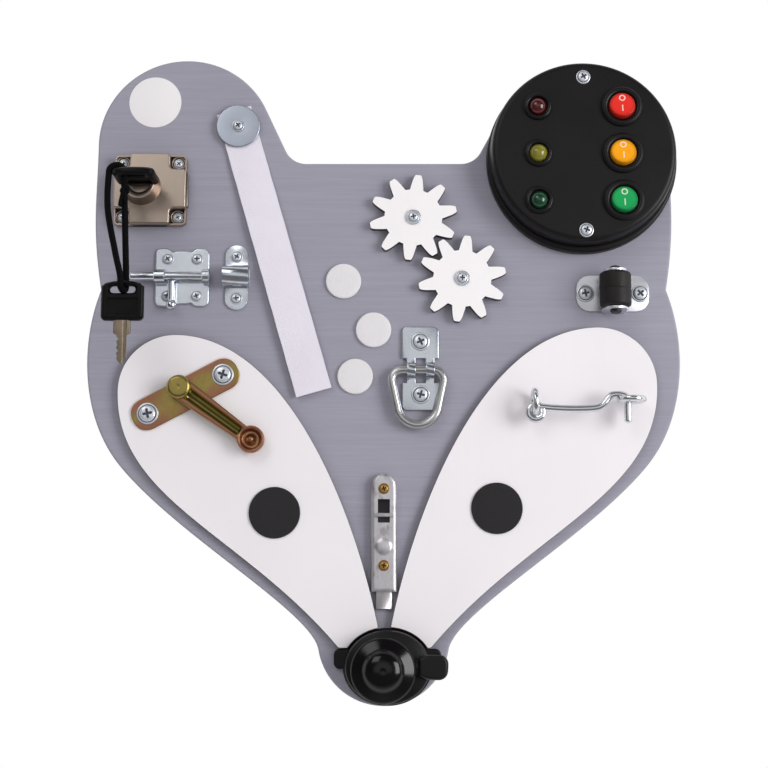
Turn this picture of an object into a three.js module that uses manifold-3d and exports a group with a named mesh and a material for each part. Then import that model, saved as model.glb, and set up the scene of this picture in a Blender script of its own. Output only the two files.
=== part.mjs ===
// Wooden busy board: a shaped panel with locks, bolts, gears, a lamp box, a roller and a bell.
// Sizes are in millimetres. The frame has X right, Z up and the wall behind the back face at Y = 0.
// Pieces are drawn lying on the face of the board: x right, y up the board, z out of the board.
import * as THREE from 'three';
import { mergeVertices } from 'three/addons/utils/BufferGeometryUtils.js';
import { ParametricGeometry } from 'three/addons/geometries/ParametricGeometry.js';
import Module from 'manifold-3d';

const wasm = await Module();
wasm.setup();

// Driving dimensions shared by many pieces
const gap = 0.3;
const overrun = 3;
const sheet = 1.2;
const woodScrew = { shank: 1.5, point: 1.6, length: 8 };

// The board and what is glued to it; shares are of half its width and half its height
const board = {
  width: 333, height: 366, thickness: 10, earRadius: 50.3, earInset: 2.8, earLean: 25, browDrop: 61.7,
  browFillet: 13.2, noseRadius: 36, chinRun: 20.5, noseTurn: 9.6, kinkShares: [-0.960, 0.2585],
  earSideShares: [[-0.983, 0.545], [-1.000, 0.465]],
  bellyShares: [[-1.026, 0.097], [-1.019, -0.139], [-0.878, -0.289]],
  chinShares: [-0.6805, -0.501],
};
const half = board.width / 2;
const tall = board.height / 2;
const cheek = {
  thickness: 4, slipX: 1.07, slipY: 3.79, rightShare: 1.0227, tipShares: [-0.0082, -0.8121],
  innerShares: [[-0.0785, -0.4547], [-0.3154, 0.1141], [-0.7024, 0.1141]],
  crownShares: [[-0.7913, 0.1141], [-0.8902, 0.0486], [-0.8902, -0.0604]],
  outerShares: [[-0.8902, -0.4017], [-0.4408, -0.4958], [-0.1158, -0.8645]],
};
const eye = { radius: 14.2, thickness: 1, slip: 2.4, spotShares: [-0.360, -0.430] };
const coin = {
  radius: 10, thickness: 1.8,
  spotShares: [[-0.136, 0.285], [-0.034, 0.132], [-0.0955, -0.0126]],
};
const strap = {
  width: 20.4, lengthShare: 0.9328, thickness: 1.6, overhang: 10.2, lean: 16.1, rampStart: 16,
  rampEnd: 60, spotShares: [-0.500, 0.779], washer: 12.5, washerBore: 2.3, head: 3.1, rise: 2,
};

// Drawer lock, its bolt and its two keys
const lock = {
  side: 41, height: 9, back: 1, round: 3, wall: 1.8, recess: 9.6, recessFloor: 2.6, screwHead: 3,
  screwRise: 1.4, seatRing: 4.1, spotShares: [-0.795, 0.569], plugX: -4.3, plugY: 0.8, collarFoot: 9.5,
  collarFace: 7.4, collarHeight: 9, plug: 6, plugProud: 0.4, boltWidth: 19.6, boltThickness: 4,
  boltShort: 2.4, lip: 0.9, crank: 5, crankPin: 1.5, turn: 90,
};
const key = {
  wide: 9.2, shoulder: 8, narrow: 5.2, blade: 23.4, thick: 2, bite: 1.1, cuts: 4, tang: 3, tangWide: 7,
  bowWide: 23, bowLong: 22, bowThick: 4.4, bowRound: 2.5, bowArch: 3.4, bevel: 1.1, slotLong: 14,
  slotWide: 4, slotIn: 5, panel: 0.9, panelRim: 3, lift: 0.8,
};
const cord = { radius: 1.6, loop: 4.3, knot: 2.5, knotDrop: 10, steps: 52 };
const spare = { dropX: 5.2, dropY: 65.4, forward: 36 };

// Barrel bolt with its keeper
const bolt = {
  width: 31.9, height: 35.2, corner: 3, scallop: 2, scallopWide: 14, spotShares: [-0.684, 0.296],
  rod: 2.5, axis: 5, guide: 6.9, guideWall: 1.3, rodLeft: 29.1, tipRound: 0.8, handle: 1.95,
  handleReach: 16.6, ball: 3, handleRest: -5.3, screwX: 8.3, screwY: 10.7, head: 3.2, rise: 1.3,
};
const keeper = { away: 22.4, width: 14.6, height: 37.2, tab: 6.35, loop: 4.9, loopWall: 1.2, screwY: 12,
    head: 3.2 };

// Two meshing gears: their tips follow the height of the board and the rest follows the tips
const gear = {
  teeth: 10, tipShare: 0.13661, rootShare: 0.664, tipWideShare: 0.12, rootWideShare: 0.304,
  chamferShare: 0.104, thickness: 4, lift: 0.6, spacingShare: 1.792, bearing: -52.2, phase: 11, bore: 3,
  spotShares: [0.1015, 0.483], shoulder: 2.6, flange: 4.3, head: 3, rise: 2,
};

// Lamp box with three lights and three round switches
const box = {
  radius: 53.6, taper: 2, height: 17.2, bevel: 1.6, wall: 2.2, spotShares: [0.6787, 0.676], pitch: 27.2,
  earInset: 1, lampX: -26, switchX: 21.4, rowDrop: 1.65, bezel: 7.8, bezelProud: 2.6, lamp: 5.1,
  lampProud: 3.4, lampDepth: 9, screwInset: 9.1, pillar: 4.4, screwHead: 4.1, screwRise: 2,
  screwAnchor: 6, switchFlange: 11.6, switchProud: 2, switchBody: 9.9, switchDepth: 14, switchWall: 1.9,
  switchRim: 1.1, switchFloor: 1.4, button: 7.6, buttonTilt: 10, buttonProud: 1.5, buttonBelow: 5.4,
  pivot: 1.2,
};
const battery = { width: 24, length: 52, height: 11, wall: 1.4, cell: 5.1, cellLength: 44, offX: -4.4 };

// Roller
const roller = {
  width: 41, height: 20.6, corner: 7.5, spotShares: [0.777, 0.246], wheel: 8.8, wheelLength: 19.6,
  axis: 11, ear: 6.6, earThick: 1.3, axle: 2, rivet: 3.3, rivetRise: 2, screwX: 15.4, head: 4.3,
  rise: 1.6,
};

// Lashing plate and its ring
const lash = {
  width: 20.4, thickness: 1.8, corner: 3, spotShares: [0.1245, 0.0044], upper: 25, lower: 22.4,
  window: 6.8, bridge: 5, bridgeApart: 10.6, bar: 2.4, bridgeWall: 1.4, screwUp: 16.5, screwDown: 13.6,
  head: 4.75, rise: 2, ringX: -1.7, ringWide: 29, ringLong: 31, ringRound: 6, ringFoot: 11.5,
};

// Window latch on the left cheek
const latch = {
  length: 64.8, width: 18, spotShares: [-0.678, -0.0546], lean: 27.9, screwApart: 46.8, pinAlong: 1,
  pinAside: 3.9, head: 6.2, rise: 2, pin: 3, pinHead: 6.65, pinHeadHeight: 2.7, lever: 49.1,
  leverLean: -35.8, leverHub: 6.5, leverNeck: 4.3, leverThick: 4.6, trough: 2.6, cup: 7.5, cupDepth: 3,
  cupWall: 1.4, cone: 2.6,
};

// Slide bolt between the cheeks: its size follows the board, and its bar follows its width
const slide = {
  widthShare: 0.0877, lengthShare: 0.353, height: 4.8, spotShares: [0.0012, -0.488], wall: 1.1,
  barShare: 0.603, barThick: 2, tip: 9.6, slotWide: 6.2, slotTop: 14.4, slotLong: 12.6, tabDrop: 23.1,
  tabWide: 10.6, tabTall: 2, stemWide: 5.2, tabProud: 3.4, tabThick: 1.2, screwTop: 8.5, screwLow: 50.5,
  head: 3.1, rise: 0.9, dimple: 4.4, dimpleDrop: 40, dimpleRise: 1, travelUp: 6.5, travelDown: 1.5,
};

// Cabin hook on the right cheek
const hook = {
  wire: 1.4, rod: 1.8, ring: 6.4, stand: 9, spotShares: [0.500, -0.101], loop: 3.7, reach: 51,
  ramp: 8.5, rampDrop: 2.2, humpFrom: 34, humpAt: 42.6, humpRise: 11.8, tipDrop: 5.6, shaftDrop: 2.2,
  catchX: 53.2, catchUp: 1.4, bends: 30,
};

// Bell at the nose
const bell = {
  spotShares: [0.013, -0.885], footX: 24.3, footY: 20.8, footThick: 3, bodyX: 22.6, bodyY: 19.4,
  bodyTop: 13, lugReach: 29.2, lugWide: 11, lugY: 4.2, domeX: -2.4, domeY: -1.4, dome: 17.4,
  domeFoot: 17.6, domeRim: 2.6, step: 11.1, stepRise: 5, crown: 10.7, wall: 1.4, post: 3.4,
  pivotX: 15.2, pivot: 1.5, leverThick: 3, leverHub: 3.2, padIn: 18.2, padOut: 33, padWide: 13,
  padDrop: 0.4, padTop: 19, padNeck: 6,
};

// Facet counts: of a full turn, and of a quarter turn in an outline
const fineFacets = 36;
const plainFacets = 20;
const smallFacets = 10;
const wireSides = 8;
const quarter = 2;
const curveFacets = 8;

// Materials
const paint = (colour, roughness, metalness) => new THREE.MeshStandardMaterial({ color: colour, roughness,
    metalness });
const greyPaint = paint(0x9696a3, 0.6, 0);
const whitePly = paint(0xece7ea, 0.65, 0);
const blackFelt = paint(0x201c1f, 0.9, 0);
const whiteTape = paint(0xe4dee8, 0.95, 0);
const zinc = paint(0xc8d2d7, 0.32, 1);
const nickel = paint(0xb4a394, 0.3, 1);
const yellowZinc = paint(0xa88c3c, 0.35, 1);
const blackPlastic = paint(0x252426, 0.45, 0);
const blackRubber = paint(0x2b292b, 0.7, 0);
const keySteel = paint(0x8c7d6e, 0.35, 1);
const cordFabric = paint(0x121214, 0.85, 0);
const redPlastic = paint(0xeb3223, 0.3, 0);
const amberPlastic = paint(0xfaaf0a, 0.3, 0);
const greenPlastic = paint(0x14aa55, 0.3, 0);
const redLens = paint(0x4a1216, 0.15, 0);
const amberLens = paint(0x8c8c32, 0.15, 0);
const greenLens = paint(0x0f3c28, 0.15, 0);
const cellWrap = paint(0x6f7f8c, 0.4, 0);

// Angles and places
const turn = THREE.MathUtils.degToRad;
const spot = (shares) => [shares[0] * half, shares[1] * tall];

// A closed surface as a solid that can be joined and cut
function solid(geometry) {
  geometry.deleteAttribute('normal');
  geometry.deleteAttribute('uv');
  const merged = mergeVertices(geometry);
  const vertProperties = new Float32Array(merged.attributes.position.array);
  const triVerts = new Uint32Array(merged.index.array);
  return new wasm.Manifold(new wasm.Mesh({ numProp: 3, vertProperties, triVerts }));
}

// A solid back as a surface that a mesh can show
function surface(body) {
  const mesh = body.getMesh();
  const geometry = new THREE.BufferGeometry();
  geometry.setAttribute('position', new THREE.BufferAttribute(new Float32Array(mesh.vertProperties),
      mesh.numProp));
  geometry.setIndex(new THREE.BufferAttribute(new Uint32Array(mesh.triVerts), 1));
  geometry.computeVertexNormals();
  return geometry;
}

// Many solids joined, and one solid with others cut away
const join = (...bodies) => bodies.reduce((sum, next) => sum.add(next));
const cut = (body, ...cutters) => cutters.reduce((rest, next) => rest.subtract(next), body);

// A flat outline given a thickness, from one height to another
function slab(shape, from, to, facets = quarter) {
  const geometry = new THREE.ExtrudeGeometry(shape,
      { depth: to - from, bevelEnabled: false, curveSegments: facets });
  return solid(geometry.translate(0, 0, from));
}

// A block centred on x and y
function block(wide, high, from, to, x = 0, y = 0) {
  return solid(new THREE.BoxGeometry(wide, high, to - from).translate(x, y, (from + to) / 2));
}

// A profile of [radius, height] pairs turned about the upright z
function turned(profile, facets = plainFacets, x = 0, y = 0) {
  const points = profile.map(([radius, height]) => new THREE.Vector2(radius, height));
  return solid(new THREE.LatheGeometry(points, facets).rotateX(Math.PI / 2).translate(x, y, 0));
}

// An upright round bar, pin or cutter
const drum = (radius, from, to, facets = plainFacets, x = 0, y = 0) =>
  turned([[0, from], [radius, from], [radius, to], [0, to]], facets, x, y);

// A round bar that lies along x, from one place to another
const bar = (radius, from, to, height, facets = plainFacets) =>
  drum(radius, from, to, facets).rotate([0, 90, 0]).translate([0, 0, height]);

// A wire or rod of round section swept along a curve
function wire(curve, radius, steps, sides = wireSides) {
  const section = new THREE.Shape().absarc(0, 0, radius, 0, Math.PI * 2);
  const options = { extrudePath: curve, steps, bevelEnabled: false, curveSegments: sides / 2 };
  return solid(new THREE.ExtrudeGeometry(section, options));
}

// A closed ring of wire in the plane of the board
const hoop = (radius, thick, rings = plainFacets) => solid(new THREE.TorusGeometry(radius, thick, wireSides,
    rings));

// A rectangle with round corners
function rounded(wide, high, corner, x = 0, y = 0) {
  const shape = new THREE.Shape();
  const right = x + wide / 2 - corner;
  const left = x - wide / 2 + corner;
  const top = y + high / 2 - corner;
  const low = y - high / 2 + corner;
  shape.absarc(right, top, corner, 0, Math.PI / 2);
  shape.absarc(left, top, corner, Math.PI / 2, Math.PI);
  shape.absarc(left, low, corner, Math.PI, Math.PI * 1.5);
  shape.absarc(right, low, corner, Math.PI * 1.5, Math.PI * 2);
  return shape;
}

// A pan-head wood screw whose head sits on the height given
function screw(head, rise, seat, x = 0, y = 0, length = woodScrew.length, facets = wireSides) {
  const { shank, point } = woodScrew;
  const tip = seat - length;
  const profile = [[0, tip], [shank, tip + point], [shank, seat], [head, seat], [head, seat + rise / 2],
    [head * 0.72, seat + rise], [0, seat + rise]];
  return turned(profile, facets, x, y);
}

// The hole that a screw stands in, as a cutter down to a depth
const pilot = (x, y, depth, top) => drum(woodScrew.shank + gap, -depth - gap, top + overrun, wireSides, x,
    y);

// Every screw in the board as [x, y, depth below the face], filled in as the pieces are placed
const boardHoles = [];
const cheekHoles = { left: [], right: [] };
const place = (origin, angle, x, y) => {
  const c = Math.cos(turn(angle));
  const s = Math.sin(turn(angle));
  return [origin[0] + c * x - s * y, origin[1] + s * x + c * y];
};

// The whole object, and the group that stands on the face of the board
const busyBoard = new THREE.Group();
const face = new THREE.Group();
face.rotation.x = Math.PI / 2;
face.position.y = -board.thickness;
busyBoard.add(face);

// One named piece, set at a place on the board and turned in its plane
function piece(name, body, material, origin = [0, 0], angle = 0, parent = face) {
  const mesh = new THREE.Mesh(surface(body), material);
  mesh.name = name;
  mesh.position.set(origin[0], origin[1], 0);
  mesh.rotation.z = turn(angle);
  parent.add(mesh);
  return mesh;
}

// Above its fillet the right ear keeps inside the foot of the lamp box, which hides it
function underBox(x, y) {
  const [centreX, centreY] = spot(box.spotShares);
  const away = Math.hypot(x - centreX, y - centreY);
  const keep = box.radius - box.earInset;
  const fillet = tall - board.browDrop + board.browFillet;
  const share = y > fillet ? Math.min(1, keep / away) : 1;
  return new THREE.Vector2(centreX + (x - centreX) * share, centreY + (y - centreY) * share);
}

// Outline of the board: its left half from the brow to the chin, and the same mirrored
function boardOutline() {
  const earX = -(half - board.earRadius - board.earInset);
  const earY = tall - board.earRadius;
  const brow = tall - board.browDrop;
  const lean = turn(board.earLean);
  const flank = [earX + board.earRadius * Math.cos(lean), earY + board.earRadius * Math.sin(lean)];
  const run = (flank[1] - brow) / Math.cos(lean);
  const corner = flank[0] + run * Math.sin(lean);
  const filletX = corner + board.browFillet * Math.tan((Math.PI / 2 - lean) / 2);
  const path = new THREE.Path();
  path.moveTo(0, brow);
  path.lineTo(filletX, brow);
  path.absarc(filletX, brow + board.browFillet, board.browFillet, -Math.PI / 2, -Math.PI + lean, true);
  path.lineTo(flank[0], flank[1]);
  path.absarc(earX, earY, board.earRadius, lean, Math.PI);
  const kink = spot(board.kinkShares);
  path.bezierCurveTo(...board.earSideShares.flatMap(spot), ...kink);
  path.bezierCurveTo(...board.bellyShares.flatMap(spot));
  const noseY = -tall + board.noseRadius;
  const join = Math.PI + turn(board.noseTurn);
  const end = [board.noseRadius * Math.cos(join), noseY + board.noseRadius * Math.sin(join)];
  const last = [end[0] + board.chinRun * Math.sin(join), end[1] - board.chinRun * Math.cos(join)];
  path.bezierCurveTo(...spot(board.chinShares), ...last, ...end);
  path.absarc(0, noseY, board.noseRadius, join, Math.PI * 1.5);
  const left = path.getPoints(curveFacets);
  const right = left.slice(1, -1).reverse().map((p) => underBox(-p.x, p.y));
  return new THREE.Shape([...left, ...right]);
}

// Teardrop outline of the left cheek
function cheekOutline() {
  const shape = new THREE.Shape();
  shape.moveTo(...spot(cheek.tipShares));
  shape.bezierCurveTo(...cheek.innerShares.flatMap(spot));
  shape.bezierCurveTo(...cheek.crownShares.flatMap(spot));
  shape.bezierCurveTo(...cheek.outerShares.flatMap(spot));
  return shape;
}

// Hook-and-loop strap: its length follows the height of the board; it lies flat under its washer,
// then just high enough to pass over the coins
function strapBody() {
  const low = gap;
  const high = coin.thickness + gap;
  const shape = new THREE.Shape();
  const end = strap.lengthShare * tall - strap.overhang;
  const line = [[-strap.overhang, low], [strap.rampStart, low], [strap.rampEnd, high], [end, high]];
  line.forEach(([along, z]) => (along === -strap.overhang ? shape.moveTo(along, z) : shape.lineTo(along,
      z)));
  [...line].reverse().forEach(([along, z]) => shape.lineTo(along, z + strap.thickness));
  const lying = slab(shape, -strap.width / 2, strap.width / 2).rotate([90, 0, 0]);
  const body = lying.rotate([0, 0, -90]);
  return cut(body, drum(woodScrew.shank + gap, -overrun, high + strap.thickness + overrun, smallFacets));
}

function addStrap() {
  const at = spot(strap.spotShares);
  piece('strap', strapBody(), whiteTape, at, strap.lean);
  const seat = gap + strap.thickness + gap;
  const disc = cut(drum(strap.washer, seat, seat + sheet, fineFacets),
      drum(strap.washerBore, -overrun, seat + overrun, smallFacets));
  piece('strap_washer', disc, zinc, at);
  piece('strap_screw', screw(strap.head, strap.rise, seat + sheet + gap, 0, 0, woodScrew.length + seat),
      zinc, at);
  boardHoles.push([...at, woodScrew.length]);
  coin.spotShares.forEach((shares, index) => {
    piece(`coin_${index + 1}`, drum(coin.radius, 0, coin.thickness, plainFacets), whiteTape, spot(shares));
  });
}

// Drawer lock: a cast case over a back plate, with its four corner screws
function lockCase() {
  const { side, height, back, wall, recess, plugX, plugY } = lock;
  const inner = side / 2 - recess;
  const pocketHalf = lock.boltWidth / 2 + gap;
  const boltTop = back + gap + lock.boltThickness;
  const plugFoot = boltTop + gap;
  const body = slab(rounded(side, side, lock.round), back, height);
  const collar = turned([[0, height - wall], [lock.collarFoot, height - wall], [lock.collarFoot, height],
    [lock.collarFace, height + lock.collarHeight], [0, height + lock.collarHeight]], plainFacets, plugX,
    plugY);
  const pocket = block(side - wall * 2, pocketHalf * 2, back - overrun, height - wall);
  const lip = block(wall + overrun * 2, pocketHalf * 2, back - overrun, boltTop + gap, side / 2);
  const bore = drum(lock.plug + gap, plugFoot, height + lock.collarHeight + overrun, plainFacets, plugX,
      plugY);
  const corners = [];
  const screws = [];
  for (const [sx, sy] of [[1, 1], [-1, 1], [-1, -1], [1, -1]]) {
    const mid = inner + recess / 2;
    const open = recess + overrun;
    const shift = inner + open / 2;
    corners.push(block(open, open, back + lock.recessFloor, height + overrun, sx * shift, sy * shift));
    screws.push(screw(lock.screwHead, lock.screwRise, back + lock.recessFloor, sx * mid, sy * mid));
  }
  const rims = [[1, 1], [-1, 1], [-1, -1], [1, -1]].map(([sx, sy]) => {
    const mid = inner + recess / 2;
    const ring = drum(lock.seatRing, back, back + lock.recessFloor + gap * 2, smallFacets, sx * mid,
        sy * mid);
    return cut(ring, drum(lock.screwHead + gap, back + lock.recessFloor, height, smallFacets, sx * mid,
        sy * mid));
  });
  return join(cut(join(cut(body, pocket, ...corners), collar), pocket, lip, bore), ...rims, ...screws);
}

// The plug: keyway from end to end, and the crank pin that drives the bolt
function lockPlug() {
  const foot = lock.back + gap + lock.boltThickness + gap;
  const top = lock.height + lock.collarHeight + lock.plugProud;
  const start = turn(-90 - lock.turn / 2);
  const pinX = lock.crank * Math.cos(start);
  const pinY = lock.crank * Math.sin(start);
  const pin = drum(lock.crankPin, lock.back + gap * 2, foot + gap, smallFacets, pinX, pinY);
  const deep = block(key.narrow + gap * 2, key.thick + gap * 2, foot - overrun, top + overrun);
  const mouth = top + key.lift - key.shoulder - gap * 2;
  const wide = block(key.wide + gap * 2, key.thick + gap * 2, mouth, top + overrun);
  return join(cut(drum(lock.plug, foot, top), deep, wide), pin);
}

// The bolt: a plate with a window for the end of the key and a slot for the crank pin
function lockBolt() {
  const bottom = lock.back + gap;
  const right = lock.side / 2 + lock.lip;
  const boltLength = lock.side - lock.boltShort;
  const middle = right - boltLength / 2;
  const throwHalf = lock.crank * Math.sin(turn(lock.turn / 2));
  const plate = block(boltLength, lock.boltWidth, bottom, bottom + lock.boltThickness, middle);
  const roomy = key.narrow / 2 + gap * 2;
  const window = block(roomy * 2 + throwHalf * 2, roomy * 2, 0, bottom + lock.boltThickness + overrun,
    lock.plugX - throwHalf, lock.plugY);
  const pinSlot = lock.crankPin + gap + gap / 4;
  const depth = lock.crank + lock.crankPin + gap * 2;
  const slot = block(pinSlot * 2, depth, 0, bottom + lock.boltThickness + overrun,
    lock.plugX - throwHalf, lock.plugY - depth / 2);
  return cut(plate, window, slot);
}

// Key blade pointing down -z, with its shoulder at the bow and notches along one edge
function keyBlade() {
  const shape = new THREE.Shape();
  const tip = -key.blade;
  const edge = key.narrow / 2;
  shape.moveTo(key.tangWide / 2, key.tang);
  shape.lineTo(-key.tangWide / 2, key.tang);
  shape.lineTo(-key.tangWide / 2, 0);
  shape.lineTo(-key.wide / 2, 0);
  shape.lineTo(-key.wide / 2, -key.shoulder + key.bite);
  shape.lineTo(-edge, -key.shoulder);
  const pitch = (key.blade - key.shoulder - edge) / key.cuts;
  for (let i = 0; i < key.cuts; i += 1) {
    const y = -key.shoulder - pitch * i;
    const depth = key.bite * (i % 2 === 0 ? 1 : 1 / 2);
    shape.lineTo(-edge, y - pitch / 4);
    shape.lineTo(-edge + depth, y - pitch * 2 / 3);
    shape.lineTo(-edge, y - pitch);
  }
  shape.lineTo(-key.bite / 2, tip);
  shape.lineTo(key.bite / 2, tip);
  shape.lineTo(edge, tip + edge);
  shape.lineTo(edge, -key.shoulder);
  shape.lineTo(key.wide / 2, -key.shoulder + key.bite);
  shape.lineTo(key.wide / 2, 0);
  shape.lineTo(key.tangWide / 2, 0);
  return slab(shape, -key.thick / 2, key.thick / 2).rotate([90, 0, 0]);
}

// Moulded bow standing on +z from the shoulder of the blade, with a slot for the cord
function keyBow() {
  const { bowWide, bowLong, bowThick, bowRound, bowArch, bevel } = key;
  const shape = new THREE.Shape();
  const w = bowWide / 2;
  shape.moveTo(-w + bowRound, 0);
  shape.lineTo(w - bowRound, 0);
  shape.absarc(w - bowRound, bowRound, bowRound, -Math.PI / 2, 0);
  shape.lineTo(w, bowLong - bowArch);
  shape.quadraticCurveTo(w - bowRound / 2, bowLong - bowArch / 3, w / 2, bowLong - bowArch / 6);
  shape.quadraticCurveTo(0, bowLong + bowArch / 6, -w / 2, bowLong - bowArch / 6);
  shape.quadraticCurveTo(-w + bowRound / 2, bowLong - bowArch / 3, -w, bowLong - bowArch);
  shape.lineTo(-w, bowRound);
  shape.absarc(-w + bowRound, bowRound, bowRound, Math.PI, Math.PI * 1.5);
  const slotTop = bowLong - key.slotIn + key.slotWide / 2;
  shape.holes.push(new THREE.Path(rounded(key.slotLong, key.slotWide, key.slotWide / 2, 0,
    slotTop - key.slotWide / 2).getPoints(quarter)));
  const options = { depth: bowThick - bevel * 2, bevelThickness: bevel, bevelSize: bevel,
      bevelOffset: -bevel,
    bevelSegments: 1, curveSegments: quarter };
  const blank = solid(new THREE.ExtrudeGeometry(shape, options).translate(0, 0, -bowThick / 2 + bevel));
  const panelHigh = bowLong - key.slotIn - key.slotWide / 2 - key.panelRim * 2;
  const panelY = key.panelRim + panelHigh / 2;
  const panelWide = bowWide - key.panelRim * 2;
  const front = block(panelWide, panelHigh, bowThick / 2 - key.panel, bowThick / 2 + overrun, 0, panelY);
  const rear = block(panelWide, panelHigh, -bowThick / 2 - overrun, -bowThick / 2 + key.panel, 0, panelY);
  const socketTop = key.tang + gap;
  const socket = block(key.tangWide + gap * 2, socketTop + overrun, -key.thick / 2 - gap,
      key.thick / 2 + gap,
    0, (socketTop - overrun) / 2);
  return cut(blank, front, rear, socket).rotate([90, 0, 0]);
}

// Middle of the bar at the left end of a bow's slot: the cord turns round it
const barWide = (key.bowWide - key.slotLong) / 2;
const barX = -key.slotLong / 2 - barWide / 2;
const bowFoot = lock.height + lock.collarHeight + lock.plugProud + key.lift;
const slotHeight = bowFoot + key.bowLong - key.slotIn;

// The loop of cord: up through the slot, over the side bar, down to the spare key and back
function cordBody(origin) {
  const [x, y] = [origin[0] + barX, origin[1]];
  const z = slotHeight;
  const low = [x + spare.dropX, y - spare.dropY, spare.forward];
  const reach = key.bowThick / 2 + gap + cord.radius;
  const dip = cord.radius + gap;
  const turnRadius = cord.loop;
  const knot = [x + turnRadius, y - cord.knotDrop, z];
  const side = cord.radius / 2;
  const points = [
    knot,
    [x + turnRadius, y - turnRadius / 2, z],
    [x + turnRadius * Math.cos(turn(30)), y + turnRadius * Math.sin(turn(30)), z],
    [x + turnRadius * Math.cos(turn(60)), y + turnRadius * Math.sin(turn(60)), z],
    [x, y + turnRadius, z],
    [x - turnRadius * Math.cos(turn(60)), y + turnRadius * Math.sin(turn(60)), z],
    [x - turnRadius * Math.cos(turn(30)), y + turnRadius * Math.sin(turn(30)), z],
    [x - turnRadius, y - turnRadius / 2, z],
    [x - turnRadius, y - cord.knotDrop * 2, z],
    [low[0] - cord.loop, low[1] + cord.knotDrop * 2, low[2] + reach / 2],
    [low[0] - side, low[1] + dip * 3, low[2] + reach],
    [low[0] - side, low[1] + dip, low[2] + reach],
    [low[0] - side / 2, low[1], low[2] + reach / 2],
    [low[0] + side / 2, low[1], low[2] - reach / 2],
    [low[0] + side, low[1] + dip, low[2] - reach],
    [low[0] + side, low[1] + dip * 3, low[2] - reach],
    [x + turnRadius + side, y - cord.knotDrop * 3, z - reach / 2],
    knot,
  ].map((p) => new THREE.Vector3(...p));
  const path = new THREE.CatmullRomCurve3(points, false, 'centripetal');
  const knotBall = solid(new THREE.SphereGeometry(cord.knot, smallFacets, wireSides).translate(...knot));
  return join(wire(path, cord.radius, cord.steps), knotBall);
}

function addLock() {
  const at = spot(lock.spotShares);
  const axis = [at[0] + lock.plugX, at[1] + lock.plugY];
  const mid = lock.side / 2 - lock.recess / 2;
  const screwSpots = [[1, 1], [-1, 1], [-1, -1], [1, -1]].map(([sx, sy]) => [sx * mid, sy * mid]);
  const depth = woodScrew.length - lock.back - lock.recessFloor;
  screwSpots.forEach(([x, y]) => boardHoles.push([at[0] + x, at[1] + y, depth]));
  const bores = screwSpots.map(([x, y]) => pilot(x, y, 0, lock.back));
  const tipHole = drum(key.narrow / 2 + gap * 2, -overrun, lock.back + overrun, smallFacets, lock.plugX,
      lock.plugY);
  const plate = slab(rounded(lock.side - gap * 2, lock.side - gap * 2, lock.round), 0, lock.back);
  piece('lock_back_plate', cut(plate, tipHole, ...bores), zinc, at);
  piece('lock_case', lockCase(), nickel, at);
  piece('lock_plug', lockPlug(), nickel, axis);
  piece('lock_bolt', lockBolt(), zinc, at);
  const mainKey = new THREE.Group();
  mainKey.position.set(axis[0], axis[1], bowFoot);
  face.add(mainKey);
  piece('main_key_blade', keyBlade(), keySteel, [0, 0], 0, mainKey);
  piece('main_key_bow', keyBow(), blackPlastic, [0, 0], 0, mainKey);
  piece('key_cord', cordBody(axis), cordFabric);
  const spareKey = new THREE.Group();
  spareKey.rotation.x = -Math.PI / 2;
  const slotUp = key.bowLong - key.slotIn;
  spareKey.position.set(axis[0] + barX + spare.dropX, axis[1] - spare.dropY - slotUp, spare.forward);
  face.add(spareKey);
  piece('spare_key_blade', keyBlade(), keySteel, [0, 0], 0, spareKey);
  piece('spare_key_bow', keyBow(), blackPlastic, [0, 0], 0, spareKey);
  const blindTip = key.blade - bowFoot + gap * 2;
  return { axis, tipPocket: drum(key.narrow / 2 + gap * 2, -blindTip, overrun, smallFacets, ...axis) };
}

// Barrel bolt: a scalloped plate with two guides, the rod, and the handle that turns with it
function boltPlate() {
  const { width, height, corner, scallop, scallopWide } = bolt;
  const w = width / 2;
  const h = height / 2;
  const s = scallopWide / 2;
  const shape = new THREE.Shape();
  shape.moveTo(s, h);
  shape.quadraticCurveTo(0, h - scallop * 2, -s, h);
  shape.lineTo(-w + corner, h);
  shape.absarc(-w + corner, h - corner, corner, Math.PI / 2, Math.PI);
  shape.absarc(-w + corner, -h + corner, corner, Math.PI, Math.PI * 1.5);
  shape.lineTo(-s, -h);
  shape.quadraticCurveTo(0, -h + scallop * 2, s, -h);
  shape.absarc(w - corner, -h + corner, corner, Math.PI * 1.5, Math.PI * 2);
  shape.absarc(w - corner, h - corner, corner, 0, Math.PI / 2);
  const outer = bolt.rod + gap + bolt.guideWall;
  const guides = [-1, 1].map((side) => {
    const from = side < 0 ? -w : w - bolt.guide;
    const foot = block(bolt.guide, outer * 2, 0, bolt.axis, from + bolt.guide / 2);
    return join(bar(outer, from, from + bolt.guide, bolt.axis), foot);
  });
  const screws = [[1, 1], [-1, 1], [-1, -1], [1, -1]].map(([sx, sy]) =>
    screw(bolt.head, bolt.rise, sheet, sx * bolt.screwX, sy * bolt.screwY));
  const bore = bar(bolt.rod + gap, -width, width, bolt.axis);
  return cut(join(slab(shape, 0, sheet), ...guides, ...screws), bore);
}

// The rod with rounded ends, lying along x
function boltRod() {
  const { rod, tipRound, rodLeft, width } = bolt;
  const right = width / 2;
  const profile = [[0, -rodLeft], [rod - tipRound, -rodLeft], [rod, -rodLeft + tipRound],
    [rod, right - tipRound], [rod - tipRound, right], [0, right]];
  return turned(profile, plainFacets).rotate([0, 90, 0]).translate([0, 0, bolt.axis]);
}

// The handle hangs from the rod and ends in a ball
function boltHandle() {
  const seat = bolt.rod + gap;
  const pin = drum(bolt.handle, seat, bolt.handleReach, smallFacets).rotate([90, 0, 0]);
  const knob = solid(new THREE.SphereGeometry(bolt.ball, smallFacets, wireSides).translate(0,
      -bolt.handleReach, 0));
  return join(pin, knob).translate([bolt.handleRest, 0, bolt.axis]);
}

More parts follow.
